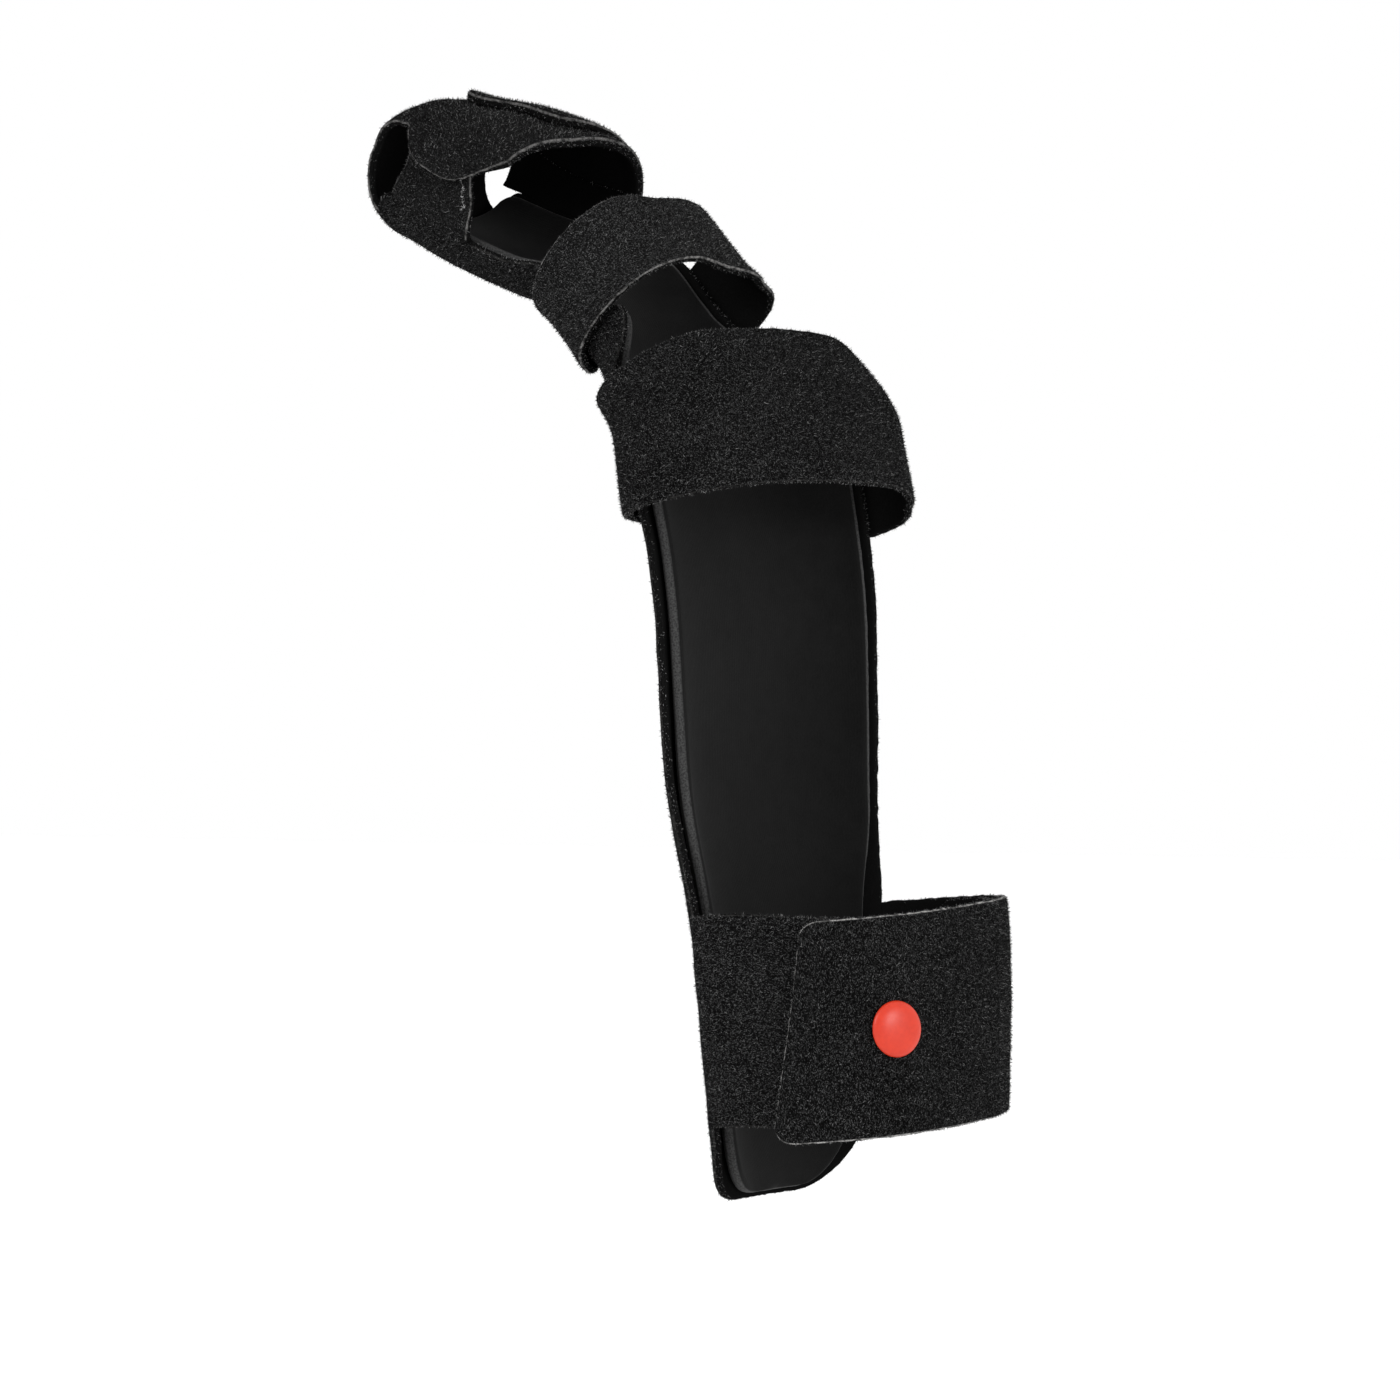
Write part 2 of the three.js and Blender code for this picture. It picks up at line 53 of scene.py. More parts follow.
palmLength, knuckleToJoint, jointToTip = hand["palmLength"], hand["knuckleToJoint"], hand["jointToTip"]
forearmLength = hand["forearmLength"]
gap, slack = laminate["gap"], laminate["slack"]
jointAt = palmLength + knuckleToJoint
tipAt = jointAt + jointToTip
coverInner = laminate["pad"] + gap + 0.25
coverOuter = coverInner + laminate["cover"]
strapOverCover = coverOuter + gap + 1.7 * slack


def table(names, rows):
    return {name: np.array([row[i] for row in rows], float) for i, name in enumerate(names.split())}


def sizesNamed(names):
    return (hand[name] for name in names.split())


# Cuts across the hand: place, lean of the hand's line, way aside, half width, depth to palm and back,
# squareness of the palm side, roundness of the back, and turn about the line
def handSections():
    wristW, wristD, palmW, palmD = sizesNamed("wristWidth wristDepth palmWidth palmDepth")
    fingersW, fingersD, hoodW, hoodD = sizesNamed("fingersWidth fingersDepth hoodWidth hoodDepth")
    aside, wristAside, twist = sizesNamed("fingersAside wristAside hoodTwist")
    forearm, palm, knuckle, tip = sizesNamed("forearmLean palmLean knuckleLean tipLean")
    return table("at lean aside half palm back square dome twist", [
        (-forearmLength * 1.3, forearm, wristAside, wristW * 0.45, wristD * 0.48, wristD * 0.45, 2.5, 2.3, 0),
        (-forearmLength * 0.5, forearm, wristAside, wristW * 0.495, wristD * 0.46, wristD * 0.51, 2.5, 2.35, 0),
        (forearmLength * 0.5, forearm, wristAside, wristW * 0.52, wristD * 0.47, wristD * 0.56, 2.6, 2.4, 0),
        (palmLength * 0.4, palm * 0.7, 0, palmW * 0.47, wristD * 0.5, wristD * 0.46, 2.8, 2.5, 0),
        (palmLength * 0.75, palm, 0, palmW * 0.5, palmD * 0.55, palmD * 0.51, 2.9, 2.5, 0),
        (palmLength, palm * 1.15, 0, palmW * 0.49, palmD * 0.48, palmD * 0.51, 2.9, 2.5, 0),
        (palmLength + knuckleToJoint * 0.3, knuckle * 0.68, aside * 0.42, palmW * 0.45,
         palmD * 0.42, palmD * 0.43, 2.9, 2.4, twist * 0.1),
        (palmLength + knuckleToJoint * 0.6, knuckle, aside * 0.85, palmW * 0.31,
         palmD * 0.4, fingersD * 0.53, 2.8, 2.3, twist * 0.2),
        (palmLength + knuckleToJoint * 0.78, knuckle, aside, fingersW * 0.5,
         fingersD * 0.5, fingersD * 0.52, 2.7, 2.3, twist * 0.3),
        (jointAt, knuckle * 1.1, aside, fingersW * 0.5, fingersD * 0.48, fingersD * 0.52, 2.7, 2.5, twist * 0.6),
        (jointAt + jointToTip * 0.35, tip, aside, hoodW * 0.5, hoodD * 0.52, hoodD * 0.48, 2.7, 2.7, twist),
        (jointAt + jointToTip * 0.7, tip, aside, hoodW * 0.5, hoodD * 0.5, hoodD * 0.47, 2.7, 2.7, twist * 0.8),
        (tipAt, tip, aside, hoodW * 0.48, hoodD * 0.46, hoodD * 0.41, 2.7, 2.45, twist * 0.5),
    ])


# The cover's reach from the middle of the palm side to its two edges
def coverOutlineTable():
    wristW, palmW, fingersW, hoodW = sizesNamed("wristWidth palmWidth fingersWidth hoodWidth")
    return table("at thumb little", [
        (-forearmLength, wristW * 0.42, wristW * 0.42),
        (0, wristW * 0.48, wristW * 0.5),
        (palmLength * 0.3, palmW * 0.42, palmW * 0.5),
        (palmLength * 0.55, palmW * 0.36, palmW * 0.54),
        (palmLength * 0.8, palmW * 0.36, palmW * 0.56),
        (palmLength * 1.02, palmW * 0.44, palmW * 0.55),
        (palmLength + knuckleToJoint * 0.4, palmW * 0.44, palmW * 0.44),
        (palmLength + knuckleToJoint * 0.6, palmW * 0.42, palmW * 0.36),
        (palmLength + knuckleToJoint * 0.75, fingersW * 0.58, fingersW * 0.58),
        (jointAt, fingersW * 0.56, fingersW * 0.56),
        (tipAt, hoodW * 0.54, hoodW * 0.54),
    ])


def mix(a, b, x):
    return a + (b - a) * x


def ease(low, high, x):
    x = np.clip((x - low) / (high - low), 0, 1)
    return x * x * (3 - 2 * x)


# A smooth curve through points whose slopes are given
def curveThrough(xs, ys, tangent, at):
    at = np.clip(at, xs[0], xs[-1])
    i = np.clip(np.searchsorted(xs, at) - 1, 0, len(xs) - 2)
    span = xs[i + 1] - xs[i]
    x = (at - xs[i]) / span
    rise = ys[i + 1] - ys[i]
    return (ys[i] + rise * x * x * (3 - 2 * x)
            + span * (tangent[i] * x * (1 - x) ** 2 - tangent[i + 1] * x * x * (1 - x)))


# One column of a table as a curve that never swings past its rows
def column(rows, name, at):
    xs, ys = rows["at"], rows[name]
    slope = np.diff(ys) / np.diff(xs)
    tangent = np.zeros(len(ys))
    before, after = slope[:-1], slope[1:]
    both = np.where(before * after > 0, before + after, 1)
    tangent[1:-1] = np.where(before * after > 0, 2 * before * after / both, 0)
    return curveThrough(xs, ys, tangent, at)


sections, coverOutline = handSections(), coverOutlineTable()


def handLine():
    up = np.arange(math.ceil(tipAt) + 30) + 0.5
    down = -(np.arange(math.ceil(forearmLength * 1.5)) + 0.5)
    steps = [np.radians(column(sections, "lean", side)) for side in (down, up)]
    ys = np.concatenate([-np.cumsum(np.sin(steps[0]))[::-1], [0], np.cumsum(np.sin(steps[1]))])
    zs = np.concatenate([-np.cumsum(np.cos(steps[0]))[::-1], [0], np.cumsum(np.cos(steps[1]))])
    return np.arange(-len(down), len(up) + 1.0), ys, zs


lineStations, lineYs, lineZs = handLine()


# Cuts across the hand at many places at once: points round each with the distance walked, from the
# middle of the palm side by way of the little finger, the back and the thumb
def ringsAt(at, ringPoints=180):
    get = {name: column(sections, name, at) for name in sections if name != "at"}
    angle = np.linspace(0, 2 * math.pi, ringPoints + 1) - math.pi / 2
    c, s = np.cos(angle), np.sin(angle)
    power = 2 / np.where(s < 0, get["square"][:, None], get["dome"][:, None])
    x = get["half"][:, None] * np.sign(c) * np.abs(c) ** power
    y = np.where(s < 0, get["palm"][:, None], get["back"][:, None]) * np.sign(s) * np.abs(s) ** power
    points = np.stack([x, y], -1)
    points[:, -1] = points[:, 0]
    steps = np.linalg.norm(np.diff(points, axis=1), axis=2)
    walked = np.concatenate([np.zeros((len(at), 1)), np.cumsum(steps, axis=1)], axis=1)
    return get, points, walked


def frameAt(at, get):
    lean, twist = np.radians(get["lean"]), np.radians(get["twist"])
    zero = np.zeros(len(at))
    back0 = np.stack([zero, -np.cos(lean), np.sin(lean)], -1)
    side0 = np.stack([zero + 1, zero, zero], -1)
    c, s = np.cos(twist)[:, None], np.sin(twist)[:, None]
    middle = np.stack([-get["aside"], np.interp(at, lineStations, lineYs), np.interp(at, lineStations, lineZs)], -1)
    along = np.stack([zero, np.sin(lean), np.cos(lean)], -1)
    return middle, side0 * c + back0 * s, back0 * c - side0 * s, along


def aroundAt(at):
    flat = np.atleast_1d(np.asarray(at, float)).ravel()
    around = np.concatenate([ringsAt(part)[2][:, -1] for part in np.array_split(flat, max(1, len(flat) // 3000))])
    return around.reshape(np.shape(at)) if np.ndim(at) else float(around[0])


# A place on the hand's surface and the way out from it, first in space, then in the plane of its ring
def onHand(at, around):
    shape = np.broadcast(at, around).shape
    at, around = (np.broadcast_to(v, shape).astype(float).ravel() for v in (at, around))
    places, outs = np.empty((len(at), 3)), np.empty((len(at), 3))
    flats, flatOuts = np.empty((len(at), 2)), np.empty((len(at), 2))
    for part in np.array_split(np.arange(len(at)), max(1, len(at) // 3000)):
        get, points, walked = ringsAt(at[part])
        far = np.mod(around[part], walked[:, -1])
        last = points.shape[1] - 1
        i = np.clip((walked < far[:, None]).sum(axis=1) - 1, 0, last - 1)
        row = np.arange(len(part))
        x = ((far - walked[row, i]) / (walked[row, i + 1] - walked[row, i]))[:, None]

        def tangent(k):
            step = points[row, (k + 1) % last] - points[row, (k - 1) % last]
            return step / np.linalg.norm(step, axis=1, keepdims=True)

        way = mix(tangent(i), tangent((i + 1) % last), x)
        way /= np.linalg.norm(way, axis=1, keepdims=True)
        flat, out = mix(points[row, i], points[row, i + 1], x), np.stack([way[:, 1], -way[:, 0]], -1)
        middle, side, back, _ = frameAt(at[part], get)
        places[part] = middle + side * flat[:, :1] + back * flat[:, 1:]
        outs[part] = side * out[:, :1] + back * out[:, 1:]
        flats[part], flatOuts[part] = flat, out
    return (places.reshape(*shape, 3), outs.reshape(*shape, 3),
            flats.reshape(*shape, 2), flatOuts.reshape(*shape, 2))


def coverEdge(at, side):
    return column(coverOutline, side, at)


def corner(distance, half, radius):
    short = np.maximum(0, radius - distance)
    return half - radius + np.sqrt(np.maximum(0, radius * radius - short * short))


# Stations from 0 to 1 over a length: close together at the cut edges, even between them
def stations(length, spacing, edge=(0, 0.14, 0.32, 0.55, 0.85, 1.3, 1.9)):
    edge = np.array(edge, float)
    inner = length - 2 * edge[-1]
    middle = edge[-1] + np.linspace(0, inner, max(2, round(inner / spacing)) + 1)[1:-1]
    return np.concatenate([edge, middle, (length - edge)[::-1]]) / length


def ripple(points, size, seed, count=10):
    draw = np.random.default_rng(seed)
    total = np.zeros(points.shape[:-1])
    for _ in range(count):
        way = draw.normal(size=3)
        way *= 2 * math.pi / (size * draw.uniform(0.7, 1.6) * np.linalg.norm(way))
        total += np.sin(points @ way + draw.uniform(0, 2 * math.pi))
    return total / math.sqrt(count)


def alongGrid(grid, axis):
    steps = np.linalg.norm(np.diff(grid, axis=axis), axis=-1)
    zero = np.zeros_like(np.take(steps, [0], axis=axis))
    return np.concatenate([zero, np.cumsum(steps, axis=axis)], axis=axis)


cutShape = {"bulge": 0.16, "cutEdgeReach": 0.34, "joinFrom": 0.2, "joinTo": 1.6, "lowFray": 0.5}


# 0 on an edge that runs on into another piece, 1 a little way in from it
def freeFrom(distance):
    return ease(cutShape["joinFrom"], cutShape["joinTo"], distance)


# A laminate sheet as a closed mesh, from the grids of its lining side and its velour side. Its cut edge is
# blunt with rounded lips, save at its root, where it runs on into another piece, and where free is 0.
# through is 0 on the lining side and 1 on the velour side; cutEdge is 1 along the cut; nap is 1 on velour.
def laminateMesh(name, low, high, lip=0.7, blunt=0.6, rough=0.1, waves=(), wallSteps=5, root=None, free=None):
    middle, half = (low + high) / 2, (high - low) / 2
    thickness = 2 * np.linalg.norm(half, axis=-1, keepdims=True)
    out = 2 * half / thickness
    across, length = alongGrid(middle, 0), alongGrid(middle, 1)
    edges = {"rowStart": across, "rowEnd": across[-1:] - across, "columnStart": length,
             "columnEnd": length[:, -1:] - length}
    if free is None:
        free = freeFrom(edges.pop(root)) if root else np.ones(across.shape)
    distance = np.minimum.reduce(list(edges.values()))
    for amplitude, size, seed in waves:
        middle = middle + out * (amplitude * ripple(middle, size, seed))[..., None]
    inward = np.clip(1 - distance / lip, 0, 1)
    profile = 1 - (1 - blunt) * (1 - np.sqrt(1 - inward ** 2)) * free
    half = half * profile[..., None]
    inner, outer = middle - half, middle + half
    rows, columns = distance.shape
    loop = ([(i, 0) for i in range(rows)] + [(rows - 1, j) for j in range(1, columns)]
            + [(i, columns - 1) for i in range(rows - 2, -1, -1)] + [(0, j) for j in range(columns - 2, 0, -1)])
    li, lj = (np.array(v) for v in zip(*loop))
    count = len(loop)
    centre = middle[li, lj]
    ways = np.roll(centre, -1, axis=0) - np.roll(centre, 1, axis=0)
    outward = np.cross(ways, out[li, lj])
    outward /= np.maximum(np.linalg.norm(outward, axis=1, keepdims=True), 1e-9)
    inside = middle[np.clip(li, 1, rows - 2), np.clip(lj, 1, columns - 2)]
    outward *= np.sign(((centre - inside) * outward).sum(axis=1, keepdims=True))
    loopFree = free[li, lj]
    fray = rough * (ripple(centre, 1.1, 5) + 0.6 * ripple(centre, 0.45, 6))
    near = outward * (fray * loopFree)[:, None]
    inner[li, lj] += near * cutShape["lowFray"]
    outer[li, lj] += near
    walls = []
    for k in range(1, wallSteps):
        x = k / wallSteps
        uneven = rough * 0.5 * ripple(centre + 7 * k, 0.7, 10 + k)
        bulge = (cutShape["bulge"] * math.sin(math.pi * x) + uneven) * loopFree
        walls.append(mix(inner[li, lj], outer[li, lj], x) + outward * bulge[:, None])
    flatSize = rows * columns
    points = np.concatenate([inner.reshape(-1, 3), outer.reshape(-1, 3)] + walls)
    index = np.arange(flatSize).reshape(rows, columns)
    a, b, c, d = index[:-1, :-1], index[:-1, 1:], index[1:, 1:], index[1:, :-1]
    faces = [np.stack([a, b, c, d], -1).reshape(-1, 4), np.stack([a, d, c, b], -1).reshape(-1, 4) + flatSize]
    base = li * columns + lj
    rings = [base] + [2 * flatSize + k * count + np.arange(count) for k in range(wallSteps - 1)] + [base + flatSize]
    for under, over in zip(rings[:-1], rings[1:]):
        faces.append(np.stack([under, np.roll(under, -1), np.roll(over, -1), over], -1))
    faces = np.concatenate(faces)
    cutEdge = (np.clip(1 - distance / cutShape["cutEdgeReach"], 0, 1) * free).ravel()
    wallShare = np.repeat(np.arange(1, wallSteps) / wallSteps, count)
    through = np.concatenate([np.zeros(flatSize), np.ones(flatSize), wallShare])
    cut = np.concatenate([cutEdge, cutEdge, np.tile(loopFree, wallSteps - 1)])
    nap = np.concatenate([np.zeros(flatSize), np.ones(flatSize), np.zeros(len(wallShare))])
    flat = np.stack([length, across], -1).reshape(-1, 2)
    wallFlat = [flat[base] + k / wallSteps * 2 for k in range(1, wallSteps)]
    uv = np.concatenate([flat, flat] + wallFlat) / 1000
    return meshFrom(name, points, faces, uv, {"through": through, "cutEdge": cut, "nap": nap})


# A mesh of four-sided faces, turned to face outwards
def meshFrom(name, points, faces, uv=None, values=None):
    volume = 0
    for three in ((0, 1, 2), (0, 2, 3)):
        a, b, c = (points[faces[:, k]] for k in three)
        volume += (a * np.cross(b, c)).sum()
    if volume < 0:
        faces = faces[:, ::-1]
    mesh = bpy.data.meshes.new(name)
    mesh.vertices.add(len(points))
    mesh.vertices.foreach_set("co", (points / 1000).astype(np.float32).ravel())
    mesh.loops.add(faces.size)
    mesh.loops.foreach_set("vertex_index", faces.astype(np.int32).ravel())
    mesh.polygons.add(len(faces))
    mesh.polygons.foreach_set("loop_start", np.arange(0, faces.size, 4, dtype=np.int32))
    mesh.polygons.foreach_set("use_smooth", np.ones(len(faces), bool))
    mesh.update(calc_edges=True)
    mesh.validate()
    for key, value in (values or {}).items():
        mesh.attributes.new(key, "FLOAT", "POINT").data.foreach_set("value", value.astype(np.float32))
    if uv is not None:
        layer = mesh.uv_layers.new(name="cloth")
        vertex = np.empty(len(mesh.loops), np.int32)
        mesh.loops.foreach_get("vertex_index", vertex)
        layer.data.foreach_set("uv", uv[vertex].astype(np.float32).ravel())
    return mesh


def newPiece(name, mesh, material=None):
    piece = bpy.data.objects.new(name, mesh)
    bpy.context.scene.collection.objects.link(piece)
    if material:
        mesh.materials.clear()
        mesh.materials.append(material)
    return piece


def clothPiece(name, cloth, low, high, **shape):
    return newPiece(name, laminateMesh(name, low, high, **shape), cloth)


# Shader and geometry node groups

def nodeGroup(name, inputs, outputs, treeKind="ShaderNodeTree"):
    tree = bpy.data.node_groups.new(name, treeKind)
    for label, kind, value in inputs:
        socket = tree.interface.new_socket(label, in_out="INPUT", socket_type="NodeSocket" + kind)
        if value is not None:
            socket.default_value = value
    for label, kind in outputs:
        tree.interface.new_socket(label, in_out="OUTPUT", socket_type="NodeSocket" + kind)
    return tree, tree.nodes.new("NodeGroupInput").outputs, tree.nodes.new("NodeGroupOutput").inputs


def feed(tree, socket, value):
    if isinstance(value, bpy.types.NodeSocket):
        tree.links.new(value, socket)
    else:
        socket.default_value = value


# A node with its settings, then its inputs by name; i with a number is the input at that place
def addNode(tree, kind, settings=None, **inputs):
    node = tree.nodes.new(kind)
    for key, value in (settings or {}).items():
        setattr(node, key, value)
    for key, value in inputs.items():
        numbered = key[0] == "i" and key[1:].isdigit()
        feed(tree, node.inputs[int(key[1:]) if numbered else key.replace("_", " ")], value)
    return node


def maths(tree, operation, a, b=0.0, clamp=False):
    return addNode(tree, "ShaderNodeMath", {"operation": operation, "use_clamp": clamp}, i0=a, i1=b).outputs[0]


def times(tree, a, b):
    return maths(tree, "MULTIPLY", a, b)


def plus(tree, a, b):
    return maths(tree, "ADD", a, b)


def remap(tree, value, fromLow, fromHigh, toLow=0.0, toHigh=1.0):
    return addNode(tree, "ShaderNodeMapRange", Value=value, From_Min=fromLow, From_Max=fromHigh,
                   To_Min=toLow, To_Max=toHigh).outputs["Result"]


def blendColour(tree, share, a, b):
    return addNode(tree, "ShaderNodeMix", {"data_type": "RGBA"}, i0=share, i6=a, i7=b).outputs[2]


def noise(tree, vector, scale, detail, **more):
    return addNode(tree, "ShaderNodeTexNoise", Vector=vector, Scale=scale, Detail=detail, **more).outputs["Fac"]


def attribute(tree, name):
    return addNode(tree, "ShaderNodeAttribute", {"attribute_name": name}).outputs["Fac"]


def objectPlace(tree):
    return addNode(tree, "ShaderNodeTexCoord").outputs["Object"]


def clothPlace(tree):
    return addNode(tree, "ShaderNodeUVMap", {"uv_map": "cloth"}).outputs["UV"]


def addBump(tree, surface, strength, distance, height):
    bump = addNode(tree, "ShaderNodeBump", Strength=strength, Distance=distance, Height=height)
    tree.links.new(bump.outputs["Normal"], surface["Normal"])


# Looped pile: small curls over a dark ground, brushed along one way. The curls' light tone is partly the yarn and
# partly painted glints of fibres catching the light
def pileGroup():
    tree, given, out = nodeGroup("loopPile", [
        ("Vector", "Vector", None), ("Curl Scale", "Float", 1500.0), ("Contrast", "Float", 0.5)],
        [("Tone", "Float"), ("Height", "Float")])
    curl = noise(tree, given["Vector"], given["Curl Scale"], 2.5, Roughness=0.65, Distortion=1.9)
    finer = times(tree, given["Curl Scale"], 1.5)
    dots = addNode(tree, "ShaderNodeTexVoronoi", Vector=given["Vector"], Scale=finer)
    lump = maths(tree, "SUBTRACT", 1.0, dots.outputs["Distance"], True)
    height = plus(tree, times(tree, curl, 0.7), times(tree, lump, 0.3))
    low = maths(tree, "SUBTRACT", 0.62, times(tree, given["Contrast"], 0.16))
    high = plus(tree, 0.62, times(tree, given["Contrast"], 0.2))
    tone = addNode(tree, "ShaderNodeMapRange", {"interpolation_type": "SMOOTHSTEP"}, Value=height, From_Min=low,
                   From_Max=high).outputs["Result"]
    tree.links.new(tone, out["Tone"])
    tree.links.new(height, out["Height"])
    return tree


# Slow patches where cloth is rubbed, flattened or lightly dusted
def patchGroup():
    tree, given, out = nodeGroup("rubbedPatches", [
        ("Vector", "Vector", None), ("Scale", "Float", 60.0)], [("Value", "Float")])
    wide = noise(tree, given["Vector"], given["Scale"], 4.0, Roughness=0.6)
    small = noise(tree, given["Vector"], times(tree, given["Scale"], 6.0), 2.0)
    total = plus(tree, times(tree, wide, 0.65), times(tree, small, 0.35))
    tree.links.new(remap(tree, total, 0.36, 0.64), out["Value"])
    return tree


# The laminate seen on its cut: velour's light fringe, partly cut fuzz and partly a painted highlight along the edge,
# a smooth foam core, then the lining
def cutGroup():
    tree, given, out = nodeGroup("laminateCut", [
        ("Vector", "Vector", None), ("Through", "Float", 1.0), ("Cut Edge", "Float", 0.0)],
        [("Lining", "Float"), ("Core", "Float"), ("FringeAndHighlight", "Float")])
    grain = noise(tree, given["Vector"], 2600.0, 1.0)
    uneven = times(tree, maths(tree, "SUBTRACT", grain, 0.5), 0.35)
    through = plus(tree, given["Through"], times(tree, uneven, given["Cut Edge"]))
    lining = remap(tree, through, 0.16, 0.04)
    # The light line along the cut is partly fuzz and partly a painted highlight, broken up by noise
    fringeAndHighlight = times(tree, remap(tree, through, 0.76, 0.92), remap(tree, given["Cut Edge"], 0.25, 0.8))
    fringeGaps = noise(tree, given["Vector"], 650.0, 3.0)
    fringeAndHighlight = times(tree, fringeAndHighlight, remap(tree, fringeGaps, 0.38, 0.58, 0.15, 1.0))
    notCore = maths(tree, "MAXIMUM", lining, remap(tree, through, 0.66, 0.8))
    tree.links.new(lining, out["Lining"])
    tree.links.new(maths(tree, "SUBTRACT", 1.0, notCore, True), out["Core"])
    tree.links.new(fringeAndHighlight, out["FringeAndHighlight"])
    return tree


pileNodes, patchNodes, cutNodes = pileGroup(), patchGroup(), cutGroup()


def useGroup(tree, group, **inputs):
    return addNode(tree, "ShaderNodeGroup", {"node_tree": group}, **inputs).outputs


def patches(tree, place, scale):
    return useGroup(tree, patchNodes, Vector=place, Scale=scale)["Value"]


def newMaterial(name, roughness, sheen=0.0, specular=0.3, coat=0.0):
    material = bpy.data.materials.new(name)
    material.use_nodes = True
    tree = material.node_tree
    shader = tree.nodes["Principled BSDF"]
    for label, value in (("Roughness", roughness), ("Specular IOR Level", specular), ("Sheen Weight", sheen),
                         ("Sheen Roughness", 0.45), ("Coat Weight", coat), ("Coat Roughness", 0.2)):
        shader.inputs[label].default_value = value
    return material, tree, shader.inputs


def grey(level, warm=0.0):
    base = (level / 255) ** 2.2
    return (base * (1 + warm), base, base * (1 - warm), 1)


# The pile's light tone is partly the yarn and partly painted glints of fibres catching the light
clothTones = {"ground": 17, "yarnGlint": 96, "lining": 24, "core": 22, "spread": 6, "pileBump": 0.0005}


# Velour on one side, smooth lining on the other, foam between; pull squeezes the pile's pattern each way,
# and the ground, the curls' light tone and the fringe are grey levels from 0 to 255. The curls' light tone is partly
# the yarn and partly painted glints of fibres catching the light; the fringe is partly cut fuzz and partly a painted
# highlight along the edge
def velourMaterial(name, pull=(1.0, 1.0, 1.0), curl=2250.0, contrast=0.85, ground=None, yarnGlint=None, fringeAndHighlight=52):
    material, tree, surface = newMaterial(name, 0.95, specular=0.0)
    flat = clothPlace(tree)
    place = objectPlace(tree)
    drawn = addNode(tree, "ShaderNodeMapping", Vector=flat, Scale=pull).outputs["Vector"]
    through = attribute(tree, "through")
    cut = attribute(tree, "cutEdge")
    pile = useGroup(tree, pileNodes, Vector=drawn, Curl_Scale=curl, Contrast=contrast)
    patch = patches(tree, place, 70.0)
    edge = useGroup(tree, cutNodes, Vector=place, Through=through, Cut_Edge=cut)
    ground, yarnGlint = ground or clothTones["ground"], yarnGlint or clothTones["yarnGlint"]
    lining, foam, spread = clothTones["lining"], clothTones["core"], clothTones["spread"]
    dark = blendColour(tree, patch, grey(ground), grey(ground + 5))
    light = blendColour(tree, patch, grey(yarnGlint - spread, -0.01), grey(yarnGlint + spread, -0.01))
    # Light curls over the dark ground: partly yarn, partly painted glints of the pile catching the light
    colour = blendColour(tree, pile["Tone"], dark, light)
    fine = noise(tree, place, 3800.0, 1.0)
    liningTone = blendColour(tree, fine, grey(lining - 5), grey(lining + 5))
    core = blendColour(tree, fine, grey(foam - spread), grey(foam + 8))
    # Light line on the cut: partly fuzz, partly a painted highlight along the edge
    fringeAndHighlightTone = blendColour(tree, fine, grey(fringeAndHighlight * 0.45, 0.02), grey(fringeAndHighlight * 1.25, 0.02))
    for part, tone in (("Lining", liningTone), ("Core", core), ("FringeAndHighlight", fringeAndHighlightTone)):
        colour = blendColour(tree, edge[part], colour, tone)
    tree.links.new(colour, surface["Base Color"])
    smooth = maths(tree, "MAXIMUM", edge["Lining"], edge["Core"])
    tree.links.new(remap(tree, smooth, 0.0, 1.0, 0.95, 0.72), surface["Roughness"])
    napHeight = times(tree, pile["Height"], maths(tree, "SUBTRACT", 1.0, smooth, True))
    height = plus(tree, napHeight, times(tree, fine, 0.12))
    addBump(tree, surface, 0.9, clothTones["pileBump"], height)
    return material


# Smooth knit over the pad's foam, lighter on its rim: partly fuzz and partly a painted highlight along the edge
def liningMaterial():
    material, tree, surface = newMaterial("liningKnit", 0.85, sheen=0.03, specular=0.08)
    place = objectPlace(tree)
    flat = clothPlace(tree)
    cut = attribute(tree, "cutEdge")
    knit = addNode(tree, "ShaderNodeTexWave", {"wave_type": "BANDS", "bands_direction": "X"}, Vector=flat,
                   Scale=420.0, Distortion=1.2, Detail=2.0)
    fine = noise(tree, place, 2600.0, 2.0)
    patch = patches(tree, place, 45.0)
    base = blendColour(tree, patch, grey(18), grey(25))
    base = blendColour(tree, times(tree, fine, 0.6), base, grey(33))
    # The rim's lighter grey is partly fuzz and partly a painted highlight along the edge
    rim = times(tree, remap(tree, cut, 0.2, 0.9), remap(tree, fine, 0.35, 0.6, 0.35, 1.0))
    tree.links.new(blendColour(tree, rim, base, grey(66)), surface["Base Color"])
    height = plus(tree, times(tree, knit.outputs["Fac"], 0.4), fine)
    addBump(tree, surface, 0.5, 0.00012, height)
    return material


def fibreMaterial(name, dark, light):
    material, tree, surface = newMaterial(name, 0.8, specular=0.08)
    tint = attribute(tree, "fibreTint")
    place = objectPlace(tree)
    patch = patches(tree, place, 90.0)
    few = maths(tree, "POWER", tint, 2.2)
    share = times(tree, few, remap(tree, patch, 0.0, 1.0, 0.7, 1.0))
    tree.links.new(blendColour(tree, share, grey(dark), grey(light)), surface["Base Color"])
    tree.links.new(remap(tree, tint, 0.0, 1.0, 0.9, 0.65), surface["Roughness"])
    return material


def studMaterial():
    material, tree, surface = newMaterial("redStud", 0.26, specular=0.4, coat=0.05)
    place = objectPlace(tree)
    patch = patches(tree, place, 220.0)
    grain = noise(tree, place, 5200.0, 2.0)
    colour = blendColour(tree, patch, (0.52, 0.022, 0.004, 1), (0.6, 0.03, 0.006, 1))
    tree.links.new(colour, surface["Base Color"])
    tree.links.new(remap(tree, grain, 0.3, 0.7, 0.3, 0.42), surface["Roughness"])
    addBump(tree, surface, 0.25, 0.00003, grain)
    return material


